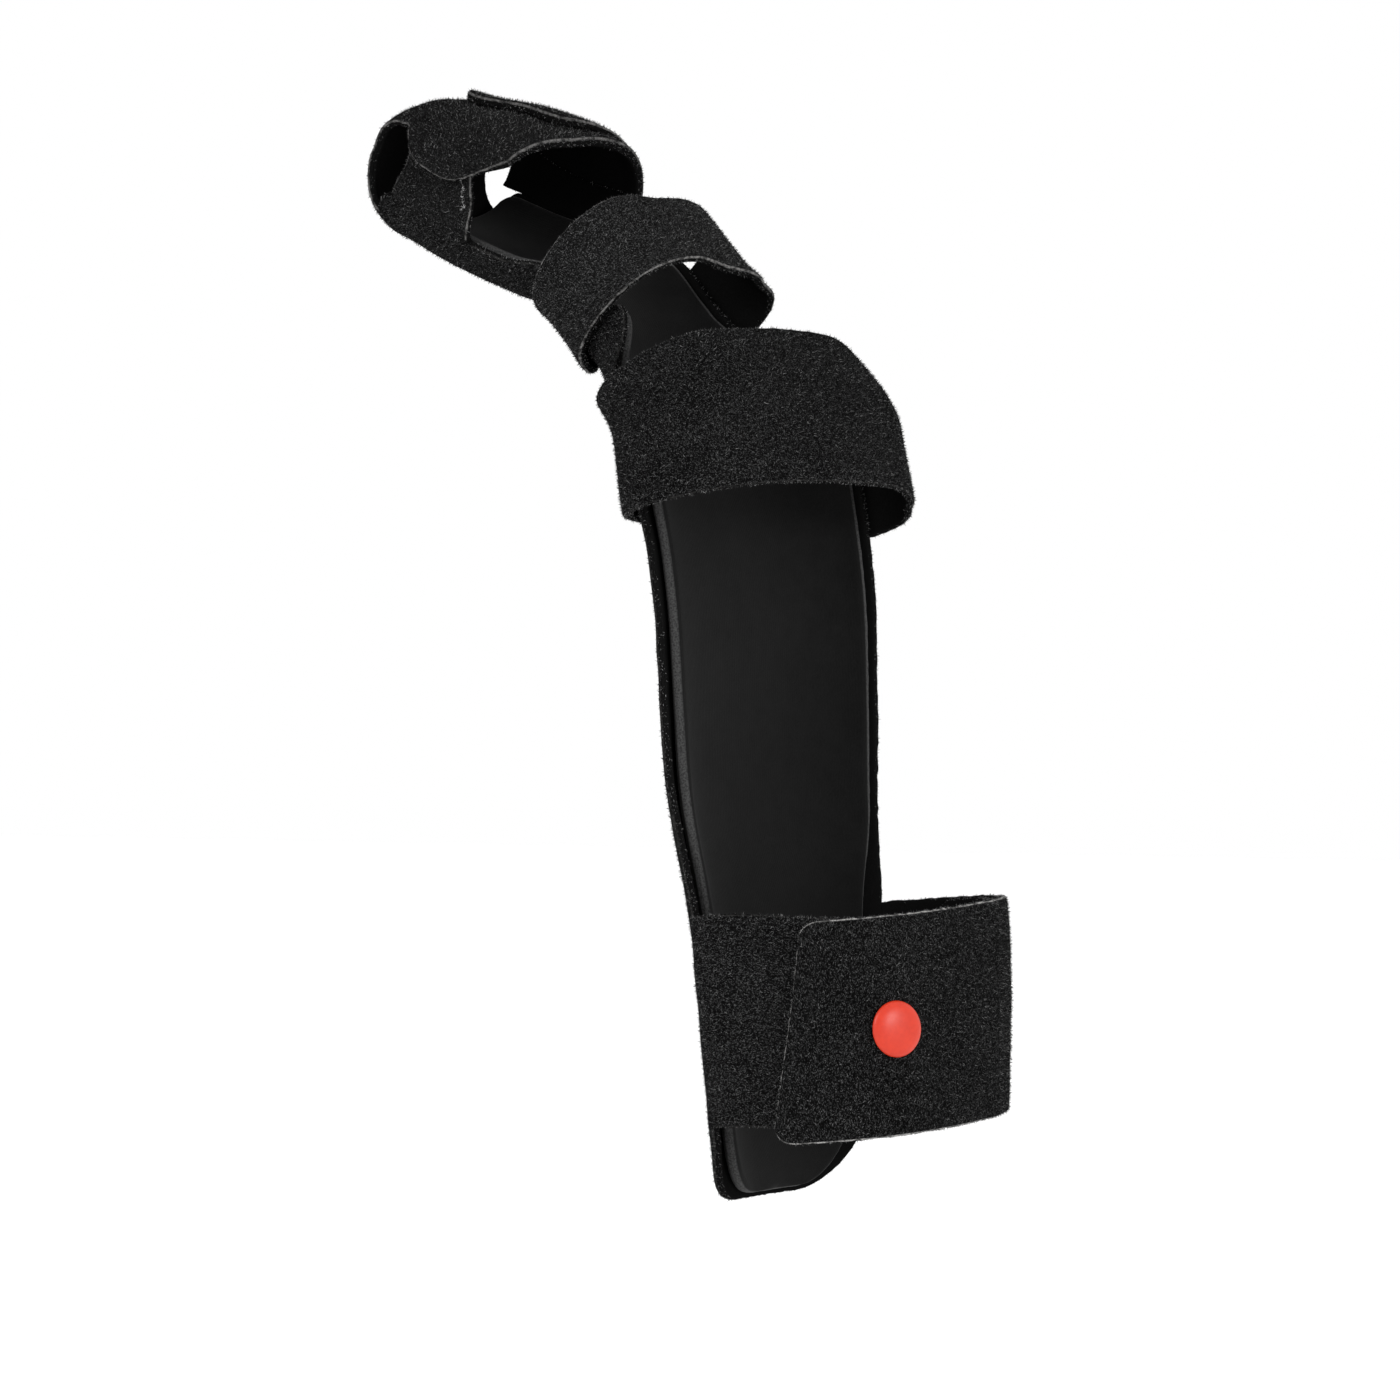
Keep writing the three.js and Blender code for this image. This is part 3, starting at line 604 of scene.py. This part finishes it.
# Per piece, the curls' light level sets its painted glints and the fringe level how bright its painted edge highlight
# is
strapCloth = velourMaterial("strapVelour", pull=(1.0, 1.15, 1.0))
brushedCloth = velourMaterial("wristVelour", pull=(0.7, 1.3, 1.0), yarnGlint=102)
flapCloth = velourMaterial("flapVelour", pull=(1.35, 0.7, 1.0), fringeAndHighlight=185)
fingerCloth = velourMaterial("fingerVelour", ground=22, yarnGlint=106, fringeAndHighlight=140)
hoodCloth = velourMaterial("hoodVelour", ground=21, yarnGlint=80, fringeAndHighlight=118)
liningCloth = liningMaterial()
pileFibre = fibreMaterial("pileYarn", 14, 118)
frayFibre = fibreMaterial("cutYarn", 30, 165)
threadFibre = fibreMaterial("pulledThread", 80, 210)
studPlastic = studMaterial()
print("materials ready")


# Fibres stand on every face that a named value marks: short closed cones that lean at random
def fibreNodes():
    tree, give, out = nodeGroup("standingFibres", [
        ("Geometry", "Geometry", None), ("Where", "String", "nap"), ("Density", "Float", 2.5e6),
        ("Length", "Float", 0.0006), ("Thickness", "Float", 0.00005), ("Lean", "Float", 0.8),
        ("Seed", "Int", 1), ("Material", "Material", None)],
        [("Geometry", "Geometry")], "GeometryNodeTree")
    where = addNode(tree, "GeometryNodeInputNamedAttribute", Name=give["Where"])
    weight = times(tree, where.outputs["Attribute"], give["Density"])
    scatter = addNode(tree, "GeometryNodeDistributePointsOnFaces", Mesh=give["Geometry"], Density=weight,
                      Seed=give["Seed"])
    lean = addNode(tree, "FunctionNodeRandomValue", {"data_type": "FLOAT_VECTOR"}, Seed=give["Seed"],
                   i0=(-1, -1, -1), i1=(1, 1, 1))
    leanBy = addNode(tree, "ShaderNodeVectorMath", {"operation": "SCALE"}, i0=lean.outputs[0], Scale=give["Lean"])
    way = addNode(tree, "ShaderNodeVectorMath", {"operation": "ADD"}, i0=scatter.outputs["Normal"],
                  i1=leanBy.outputs[0])
    turn = addNode(tree, "FunctionNodeAlignRotationToVector", {"axis": "Z"}, Vector=way.outputs[0])
    size = addNode(tree, "FunctionNodeRandomValue", Seed=give["Seed"], i2=0.45, i3=1.15)
    cone = addNode(tree, "GeometryNodeMeshCone", {"fill_type": "TRIANGLE_FAN"}, Radius_Bottom=give["Thickness"],
                   Depth=give["Length"], Vertices=3, Radius_Top=0.0, Side_Segments=1)
    sink = addNode(tree, "ShaderNodeVectorMath", {"operation": "SCALE"}, i0=(0, 0, -1), Scale=give["Thickness"])
    lower = addNode(tree, "GeometryNodeTransform", Geometry=cone.outputs["Mesh"], Translation=sink.outputs[0])
    stand = addNode(tree, "GeometryNodeInstanceOnPoints", Points=scatter.outputs["Points"],
                    Instance=lower.outputs[0], Rotation=turn.outputs[0], Scale=size.outputs[1])
    tint = addNode(tree, "FunctionNodeRandomValue")
    store = addNode(tree, "GeometryNodeStoreNamedAttribute", {"domain": "INSTANCE"},
                    Geometry=stand.outputs[0], Value=tint.outputs[1], Name="fibreTint")
    real = addNode(tree, "GeometryNodeRealizeInstances", Geometry=store.outputs[0])
    dress = addNode(tree, "GeometryNodeSetMaterial", Geometry=real.outputs[0], Material=give["Material"])
    tree.links.new(dress.outputs[0], out["Geometry"])
    return tree


fibreTree = fibreNodes()


# Sizes in metres, Density in fibres a square metre
pileSizes = {"Density": 2.0e6, "Length": 0.0008, "Thickness": 0.0001, "Lean": 0.9, "Seed": 11}
fraySizes = {"Density": 3.5e6, "Length": 0.00055, "Thickness": 0.00006, "Lean": 1.0, "Seed": 12}
threadSizes = {"Density": 2.6e7, "Length": 0.0007, "Thickness": 0.00009, "Lean": 1.6, "Seed": 5}


def growFibres(piece, name, material, where, sizes, share=1.0):
    carrier = newPiece(name + "Carrier", piece.data.copy())
    modifier = carrier.modifiers.new("fibres", "NODES")
    modifier.node_group = fibreTree
    values = {**sizes, "Where": where, "Material": material, "Density": sizes["Density"] * share}
    for item in fibreTree.interface.items_tree:
        if item.in_out == "INPUT" and item.name in values:
            modifier[item.identifier] = values[item.name]
    bpy.context.view_layer.update()
    grown = bpy.data.meshes.new_from_object(carrier.evaluated_get(bpy.context.evaluated_depsgraph_get()))
    carrier.modifiers.clear()
    bpy.data.objects.remove(carrier)
    grown.name = name
    print(name, len(grown.polygons), "faces")
    return newPiece(name, grown)


# Pieces round the hand

# The wrist strap and flap grow out of the cover's edges from one place to another along the hand
coverSizes = {"endRadius": hand["wristWidth"] * 0.25, "tipRadius": 3, "spacing": 1.5, "gridWidth": 75,
              "strapJoins": {"thumb": (-18.5, 25), "little": (-20, 26)}, "joinFade": 1}
padSizes = {"inset": 1.2, "pinch": 3.0, "pinchLength": 45}


def gutterGrid(inner, outer, inset):
    endRadius, tipRadius, spacing = (coverSizes[name] for name in ("endRadius", "tipRadius", "spacing"))
    ends = inset(tipAt)
    length = forearmLength + tipAt - 2 * ends
    at = -forearmLength + ends + length * stations(length, spacing)
    draw = inset(at)
    reach = {}
    for side in ("thumb", "little"):
        wide = coverEdge(at, side) - draw
        reach[side] = np.minimum(corner(at + forearmLength - ends, wide, endRadius),
                                 corner(tipAt - ends - at, wide, tipRadius))
    share = stations(coverSizes["gridWidth"], spacing)
    around = mix(-reach["thumb"][:, None], reach["little"][:, None], share[None, :])
    place, out, _, _ = onHand(at[:, None], around)
    return place + out * inner, place + out * outer, at, around


def makeCover():
    low, high, at, around = gutterGrid(coverInner, coverOuter, lambda at: 0 * at)
    free, fade = np.ones(around.shape), coverSizes["joinFade"]
    for side, toEdge, wing in (("thumb", around - around[:, :1], thumbWingSizes),
                               ("little", around[:, -1:] - around, littleWingSizes)):
        hoodJoin = (tipAt - jointToTip * wing["mouth"][0], tipAt + 5 * fade)
        for start, stop in (coverSizes["strapJoins"][side], hoodJoin):
            along = ease(start - fade, start + fade, at) * (1 - ease(stop - fade, stop + fade, at))
            free = free * (1 - along[:, None] * (1 - freeFrom(toEdge)))
    free = free * freeFrom(tipAt - at)[:, None]
    return clothPiece("coverSheet", strapCloth, low, high, waves=[(0.1, 26, 1), (0.05, 9, 2)], free=free)


def makePad():
    def inset(at):
        pinch = 1 - ease(padSizes["pinchLength"] * 0.5, padSizes["pinchLength"] * 1.1, np.abs(at))
        return padSizes["inset"] + padSizes["pinch"] * pinch

    low, high, _, _ = gutterGrid(0, laminate["pad"], inset)
    return clothPiece("palmPad", liningCloth, low, high, lip=1.7, blunt=0.35, rough=0.05, waves=[(0.06, 20, 3)])


# How far past the cover's edges a strap takes to come down to the hand, and how far a root takes
strapFade, edgeMargin, rootFade = {"thumb": 28, "little": 12}, 2.5, 13


def overCover(whole, around, run, at):
    thumb = (whole - around - coverEdge(at, "thumb") - edgeMargin) / strapFade["thumb"]
    little = (around - coverEdge(at, "little") - edgeMargin) / strapFade["little"]
    return strapOverCover * (1 - ease(0, 1, np.minimum(thumb, little)))


# A strap's grids, from a turn round the hand or from a root on the cover's edge to another turn
def stripGrid(size, height, rise=lambda turn: 0 * turn, spacing=1.0):
    middle, width, root = size["middle"], size["width"], size.get("root")
    whole = aroundAt(float(middle))

    def rootTurn(around, at):
        if not root:
            return 0.5 + (size["fromTurn"] - 0.5) * (whole / around)
        turn = coverEdge(at, root) / around
        return 1 - turn if root == "thumb" else turn

    first = rootTurn(whole, np.array(float(middle)))
    length = abs(size["toTurn"] - first) * whole
    share = stations(length, spacing)[None, :]
    across = (2 * stations(width, spacing) - 1)[:, None]
    turn = mix(first, size["toTurn"], share)
    reach = np.minimum(corner(share * length, width / 2, size["corners"][0]),
                       corner((1 - share) * length, width / 2, size["corners"][1]))
    at = middle + rise(turn) + across * reach
    ring = aroundAt(at)
    start = rootTurn(ring, at) * ring
    end = ring / 2 + (size["toTurn"] - 0.5) * whole
    around = mix(start, end, share) + size.get("slant", 0) * across * share ** 3
    place, out, _, _ = onHand(at, around)
    low = (height(ring, np.mod(around, ring), share * length, at) + 0 * at)[..., None]
    return place + out * low, place + out * (low + laminate["strap"])


# A turn is a share of the way round the hand from the middle of the palm side, little finger first.
# corners are the radii at a strap's start and end.
wristStrap = {"middle": 1, "width": 45, "root": "thumb", "toTurn": 0.25, "corners": (0.01, 4),
              "lift": 2.6, "liftLittle": (0.3, 0.5), "liftThumb": (0.62, 0.8)}
wristFlap = {"middle": 0.3, "width": 46.5, "root": "little", "toTurn": 0.725, "corners": (0.01, 4), "slant": -2,
             "rise": 3, "riseUntil": 0.25, "crease": 0.45, "creaseWidth": 2.6, "creaseRise": 0.7}
handStrap = {"middle": palmLength, "width": 30.5, "fromTurn": 0.06, "toTurn": 0.94, "corners": (4, 4),
             "drop": 5.5, "dropTurns": (0.18, 0.42)}
fingerStrap = {"middle": palmLength + knuckleToJoint * 0.84, "width": 20, "fromTurn": 0.06, "toTurn": 0.94,
               "corners": (4, 4)}
flapOff = laminate["strap"] + gap + slack


def makeWristStrap():
    def lift(turn):
        return wristStrap["lift"] * (ease(*wristStrap["liftThumb"], turn) + 1 - ease(*wristStrap["liftLittle"], turn))

    low, high = stripGrid(wristStrap, lambda whole, around, run, at: coverInner * (1 - ease(0, rootFade, run)), lift)
    return clothPiece("wristBand", brushedCloth, low, high, waves=[(0.1, 24, 4), (0.04, 7, 5)], root="columnStart")


def makeWristFlap():
    def height(whole, around, run, at):
        crease = np.exp(-((around - wristFlap["crease"] * whole) / wristFlap["creaseWidth"]) ** 2)
        return mix(coverInner, flapOff, ease(0, rootFade, run)) + wristFlap["creaseRise"] * crease

    def rise(turn):
        return wristFlap["rise"] * (1 - ease(wristFlap["riseUntil"], wristFlap["toTurn"], turn))

    low, high = stripGrid(wristFlap, height, rise)
    return clothPiece("wristFlapOver", flapCloth, low, high, waves=[(0.12, 24, 6), (0.05, 8, 7)], root="columnStart")


def makeHandStrap():
    low, high = stripGrid(handStrap, overCover,
                          lambda turn: -handStrap["drop"] * (1 - ease(*handStrap["dropTurns"], turn)))
    return clothPiece("handBand", strapCloth, low, high, waves=[(0.12, 26, 8), (0.04, 8, 9)])


def makeFingerStrap():
    low, high = stripGrid(fingerStrap, overCover)
    return clothPiece("fingerBand", fingerCloth, low, high, waves=[(0.12, 20, 10), (0.05, 7, 11)])


# Hood: two wings from the cover's edges and a flap from its end. An edge is a share of the last joint's
# length, back from the fingertips, at the wing's root and at its end.
hood = {"length": hand["hoodDepth"] + hand["hoodWidth"] * 0.16, "endRadius": 6, "spacing": 0.9, "wingGrid": 34}
thumbWingSizes = {"mouth": (0.505, 0.31), "mouthBend": (-0.2, 0.7), "far": (0.07, -0.025), "farBend": (0, 0.75),
                  "low": 0.1, "fold": (0, 0.2)}
littleWingSizes = {"mouth": (0.56, 0.5), "mouthBend": (0.2, 0.9), "far": -0.05, "fold": (0, 0.3), "thickEnd": 0.8}
flapOver = 0.1 + laminate["hood"] + gap + 1.6 * slack


def wingGrid(side, mouth, far, height, endRadius, thickEnd=0.0):
    length = hood["length"]
    passed = stations(length, hood["spacing"])[None, :]
    u = stations(hood["wingGrid"], hood["spacing"])[:, None]
    cut = endRadius - corner((1 - passed) * length, endRadius, endRadius)
    at = tipAt - mix(mouth(passed) - cut, far(passed) + cut, u)
    around = (coverEdge(at, side) + passed * length) * (-1 if side == "thumb" else 1)
    place, out, _, _ = onHand(at, around)
    low = np.broadcast_to(height(passed), at.shape)[..., None]
    thick = mix(laminate["cover"], laminate["hood"], ease(0, 5, passed * length))[..., None]
    thick = thick + thickEnd * ease(0.6, 0.95, passed)[..., None]
    return place + out * low, place + out * (low + thick)


def thumbMouth(p):
    return jointToTip * mix(*thumbWingSizes["mouth"], ease(*thumbWingSizes["mouthBend"], p))


def thumbHeight(p):
    return mix(coverInner, thumbWingSizes["low"], ease(*thumbWingSizes["fold"], p))


def makeThumbWing():
    def far(p):
        return jointToTip * mix(*thumbWingSizes["far"], ease(*thumbWingSizes["farBend"], p))

    low, high = wingGrid("thumb", thumbMouth, far, thumbHeight, hood["endRadius"] * 0.5)
    return clothPiece("thumbSideWing", hoodCloth, low, high, waves=[(0.08, 15, 12), (0.03, 6, 13)],
                      root="columnStart")


# Pulled threads along the seam just inside the thumb wing's mouth, grown on a narrow wandering ribbon
threadLine = {"inside": 1.9, "wave": 0.35, "waves": (70, 113), "width": 0.45, "from": 0.12, "to": 0.62,
              "proud": 0.15, "steps": 90}


def makeThreadLine():
    p = np.linspace(threadLine["from"], threadLine["to"], threadLine["steps"])
    wide, close = threadLine["waves"]
    wander = threadLine["wave"] * (np.sin(p * wide) + 0.6 * np.sin(p * close + 1))
    mouth = thumbMouth(p) - threadLine["inside"] - wander
    height = (thumbHeight(p) + laminate["hood"] + threadLine["proud"])[:, None]
    rows = []
    for shift in (0, threadLine["width"]):
        at = tipAt - mouth + shift
        place, out, _, _ = onHand(at, -(coverEdge(at, "thumb") + p * hood["length"]))
        rows.append(place + out * height)
    points, count = np.concatenate(rows), len(p)
    index = np.arange(count - 1)
    faces = np.stack([index, index + 1, index + 1 + count, index + count], -1)
    ground = newPiece("threadGround", meshFrom("threadGround", points, faces, values={"cutEdge": np.ones(2 * count)}))
    threads = growFibres(ground, "thumbWingThreads", threadFibre, "cutEdge", threadSizes)
    bpy.data.objects.remove(ground)
    return threads


def makeLittleWing():
    top = flapOver + laminate["hood"] + gap * 0.5
    little = littleWingSizes
    low, high = wingGrid("little", lambda p: jointToTip * mix(*little["mouth"], ease(*little["mouthBend"], p)),
                         lambda p: jointToTip * little["far"] + 0 * p,
                         lambda p: mix(coverInner, top, ease(*little["fold"], p)), hood["endRadius"],
                         little["thickEnd"])
    return clothPiece("littleSideWing", hoodCloth, low, high, waves=[(0.08, 15, 14), (0.03, 6, 15)],
                      root="columnStart")


# u runs from the cover's end round the fingertips until endShare, then back over the fingers. The ears
# widen the flap there: how far behind the tip, and by how much on each side.
flapSizes = {"tipBulge": 3.5, "tipSquare": 0.68, "half": hand["hoodWidth"] * 0.44, "runThumb": jointToTip * 0.53,
             "runLittle": jointToTip * 0.63, "endShare": 0.4, "endAngles": (-86, 90), "mouthRoll": 0.9,
             "gridWidth": 46, "endSteps": 42, "backSteps": 40}
ears = table("at thumb little", [
    (jointToTip * share, hand["hoodWidth"] * thumb, hand["hoodWidth"] * little) for share, thumb, little in (
        (0, 0, 0), (0.085, 0.091, 0.07), (0.19, 0.136, 0.136), (0.34, 0.145, 0.18), (0.46, 0.07, 0.18),
        (0.53, 0, 0.18))])


def earReach(name, behind):
    return curveThrough(ears["at"], ears[name], np.gradient(ears[name], ears["at"]), behind)


def makeTipFlap():
    thick, endShare, half = laminate["hood"], flapSizes["endShare"], flapSizes["half"]
    x = (2 * stations(flapSizes["gridWidth"], hood["spacing"]) - 1)[None, :]
    close = np.array([0.0018, 0.0045, 0.009, 0.017])
    us = np.unique(np.concatenate([np.linspace(0, endShare, flapSizes["endSteps"])[:-1], close * 1.2,
                                   np.linspace(endShare, 1, flapSizes["backSteps"]), 1 - close * 1.6]))
    endPart, backPart = us[us < endShare][:, None], us[us >= endShare][:, None]
    angle = np.radians(mix(*flapSizes["endAngles"], endPart / endShare)) + 0 * x
    below = angle < 0
    square = np.where(below, 1.0, flapSizes["tipSquare"])
    rise, reach = np.abs(np.sin(angle)) ** square, np.abs(np.cos(angle)) ** square
    around = np.where(below, x * half, aroundAt(float(tipAt)) / 2 - x * half)
    _, _, flat, flatOut = onHand(np.full(angle.shape, float(tipAt)), around)
    atTip = np.array([float(tipAt)])
    middle, side, back, along = (v[0] for v in frameAt(atTip, ringsAt(atTip)[0]))
    layers = []
    for off in (flapOver, flapOver + thick):
        spot = flat + flatOut * np.where(below, off + coverInner - flapOver, off)[..., None]
        ahead = (flapSizes["tipBulge"] + off) * reach
        layers.append(middle + spot[..., :1] * side + (spot[..., 1] * rise)[..., None] * back
                      + ahead[..., None] * along)
    run = mix(flapSizes["runThumb"], flapSizes["runLittle"], 0.5 + 0.5 * x)
    behind = (backPart - endShare) / (1 - endShare) * run
    wide = half + np.where(x < 0, earReach("thumb", behind), earReach("little", behind))
    at = tipAt - behind
    place, out, _, _ = onHand(at, aroundAt(at) / 2 - x * wide)
    mouthRoll = (flapSizes["mouthRoll"] * ease(0.9, 0.98, backPart) + 0 * x)[..., None]
    low = np.concatenate([layers[0], place + out * (flapOver - mouthRoll)])
    high = np.concatenate([layers[1], place + out * (flapOver + thick)])
    return clothPiece("tipFlapOver", hoodCloth, low, high, waves=[(0.08, 15, 16), (0.03, 6, 17)], root="rowStart")


# Press stud: a low domed cap with a rounded rim, on a short post through the flap. rise is the cap's
# height over its underside, and rim how far the rounding runs in and up.
stud = {"turn": 0.625, "diameter": 12, "rise": 2, "rimIn": 0.1, "rimUp": 0.05, "hollowIn": 0.45, "post": 3.6,
        "sides": 72, "domeSteps": 25, "domeFlat": 0.85, "domeWide": 0.92}


def makeStud():
    seatHeight = flapOff + laminate["strap"] + 0.4 * slack
    place, out, _, _ = onHand(np.array([0.0]), np.array([stud["turn"] * aroundAt(0.0)]))
    seat, axis = place[0] + out[0] * seatHeight, out[0]
    radius, post, foot, rimTop = stud["diameter"] / 2, stud["post"] / 2, -laminate["strap"], gap + stud["rimUp"]
    profile = [(0.001, foot), (post * 0.9, foot), (post, foot + 0.2), (post, gap * 0.6),
               (radius * 0.8, gap * 0.5), (radius - stud["hollowIn"], gap * 0.3), (radius - stud["rimIn"], rimTop)]
    for a in np.linspace(0, math.pi / 2, stud["domeSteps"] + 1)[1:]:
        profile.append((radius * max(math.cos(a), 0.0002) ** stud["domeWide"],
                        rimTop + (stud["rise"] - stud["rimUp"]) * math.sin(a) ** stud["domeFlat"]))
    profile = np.array(profile)
    side = np.cross(axis, [0, 0, 1.0])
    side /= np.linalg.norm(side)
    other = np.cross(axis, side)
    angles = np.linspace(0, 2 * math.pi, stud["sides"], endpoint=False)
    spoke = side * np.cos(angles)[:, None] + other * np.sin(angles)[:, None]
    out, up = profile[:, 0][:, None, None], profile[:, 1][:, None, None]
    points = (seat + up * axis + out * spoke).reshape(-1, 3)
    index = np.arange(len(points)).reshape(len(profile), -1)
    turned = np.roll(index, -1, axis=1)
    faces = np.stack([index[:-1], turned[:-1], turned[1:], index[1:]], -1).reshape(-1, 4)
    mesh = meshFrom("studCap", points, faces)
    shape = bmesh.new()
    shape.from_mesh(mesh)
    bmesh.ops.remove_doubles(shape, verts=shape.verts, dist=2e-6)
    bmesh.ops.holes_fill(shape, edges=[e for e in shape.edges if e.is_boundary], sides=0)
    bmesh.ops.recalc_face_normals(shape, faces=shape.faces)
    shape.to_mesh(mesh)
    shape.free()
    return newPiece("studCap", mesh, studPlastic)


cover, pad = makeCover(), makePad()
print("cover and pad made")
wristBand, flapOverBand, handBand, fingerBand = makeWristStrap(), makeWristFlap(), makeHandStrap(), makeFingerStrap()
print("straps made")
thumbWing, tipFlap, littleWing = makeThumbWing(), makeTipFlap(), makeLittleWing()
studCap = makeStud()
print("hood and stud made")

rootTurns = {"thumb": 0.82, "little": 0.18}


# A strap's flat length is its path round the hand and a share more
def stripLength(size, more):
    start = size["fromTurn"] if "fromTurn" in size else rootTurns[size["root"]]
    return abs(size["toTurn"] - start) * aroundAt(float(size["middle"])) * more


# Piece, node, slot, its fibres' name and share of pile, flat width and length in millimetres, rests on
clothPieces = [
    (cover, "cover", "cover_cloth", "cover", 0.45, 86, forearmLength + tipAt, [pad]),
    (wristBand, "wrist_strap", "strap_cloth", "wristBand", 1.0, 45, stripLength(wristStrap, 1.06), [cover]),
    (flapOverBand, "wrist_flap", "strap_cloth", "flap", 1.0, 45, stripLength(wristFlap, 1.06), [cover, wristBand]),
    (handBand, "hand_strap", "strap_cloth", "handBand", 1.0, 32, stripLength(handStrap, 1.08), [cover]),
    (fingerBand, "finger_strap", "strap_cloth", "fingerBand", 1.0, 22, stripLength(fingerStrap, 1.1), [cover]),
    (thumbWing, "thumb_wing", "cover_cloth", "thumbWing", 1.0, 40, 42, [cover]),
    (tipFlap, "tip_flap", "cover_cloth", "tipFlap", 1.0, 58, 80, [cover, thumbWing]),
    (littleWing, "little_wing", "cover_cloth", "littleWing", 1.0, 40, 42, [cover, tipFlap]),
]
fibresOn = {}
for piece, node, slot, stem, share, *_ in clothPieces:
    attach(piece, "root")
    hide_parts(node)
    fibresOn[node] = [growFibres(piece, stem + "Pile", pileFibre, "nap", pileSizes, share),
                      growFibres(piece, stem + "Fray", frayFibre, "cutEdge", fraySizes)]
    for fibres in fibresOn[node]:
        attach(fibres, "root")
for piece, node, slot in ((pad, "pad", "lining_cloth"), (studCap, "press_stud", "stud_plastic")):
    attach(piece, "root")
    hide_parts(node)
threads = makeThreadLine()
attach(threads, "root")
fibresOn["thumb_wing"].append(threads)
print("fibres grown")

# Camera at the photograph's place, a pale floor below, soft white studio light all round
view = {"place": (-0.9501, -0.5553, 0.0711), "right": (0.5299, -0.8480, 0), "lens": 130.1,
        "aim": (0, 0.03, 0.09)}
camera = bpy.data.objects.new("camera", bpy.data.cameras.new("camera"))
bpy.context.scene.collection.objects.link(camera)
right, up = Vector(view["right"]).normalized(), Vector((0, 0, 1))
back = right.cross(up)
camera.matrix_world = Matrix.Translation(view["place"]) @ Matrix((right, up, back)).transposed().to_4x4()
camera.data.lens = view["lens"]
camera.data.sensor_width = 36
bpy.context.scene.camera = camera

for name, place, size, power in (
        ("keyLight", (-1.3, 0.35, 0.9), 0.7, 7), ("fillLight", (-0.25, -1.5, 0.45), 0.4, 6),
        ("topLight", (0.1, 0.1, 1.5), 0.9, 1)):
    lamp = bpy.data.lights.new(name, "AREA")
    lamp.shape, lamp.size, lamp.energy = "SQUARE", size, power
    light = bpy.data.objects.new(name, lamp)
    light.location = place
    light.rotation_euler = (Vector(view["aim"]) - Vector(place)).to_track_quat("-Z", "Y").to_euler()
    bpy.context.scene.collection.objects.link(light)

world = bpy.data.worlds.new("studio")
world.use_nodes = True
background = world.node_tree.nodes["Background"].inputs
background["Color"].default_value, background["Strength"].default_value = (1, 1, 1, 1), 1.0
bpy.context.scene.world = world
bpy.context.scene.view_settings.view_transform = "Standard"

floorMesh = bpy.data.meshes.new("floor")
floorMesh.from_pydata([(-4, -4, -0.1), (4, -4, -0.1), (4, 4, -0.1), (-4, 4, -0.1)], [], [(0, 1, 2, 3)])
floor = newPiece("floor", floorMesh)
floorPaint, _, floorSurface = newMaterial("paleFloor", 0.8)
for label, value in (("Base Color", (0.9, 0.9, 0.9, 1)), ("Emission Color", (1, 1, 1, 1)),
                     ("Emission Strength", 0.12)):
    floorSurface[label].default_value = value
floorMesh.materials.append(floorPaint)
print("camera, lights and floor ready")
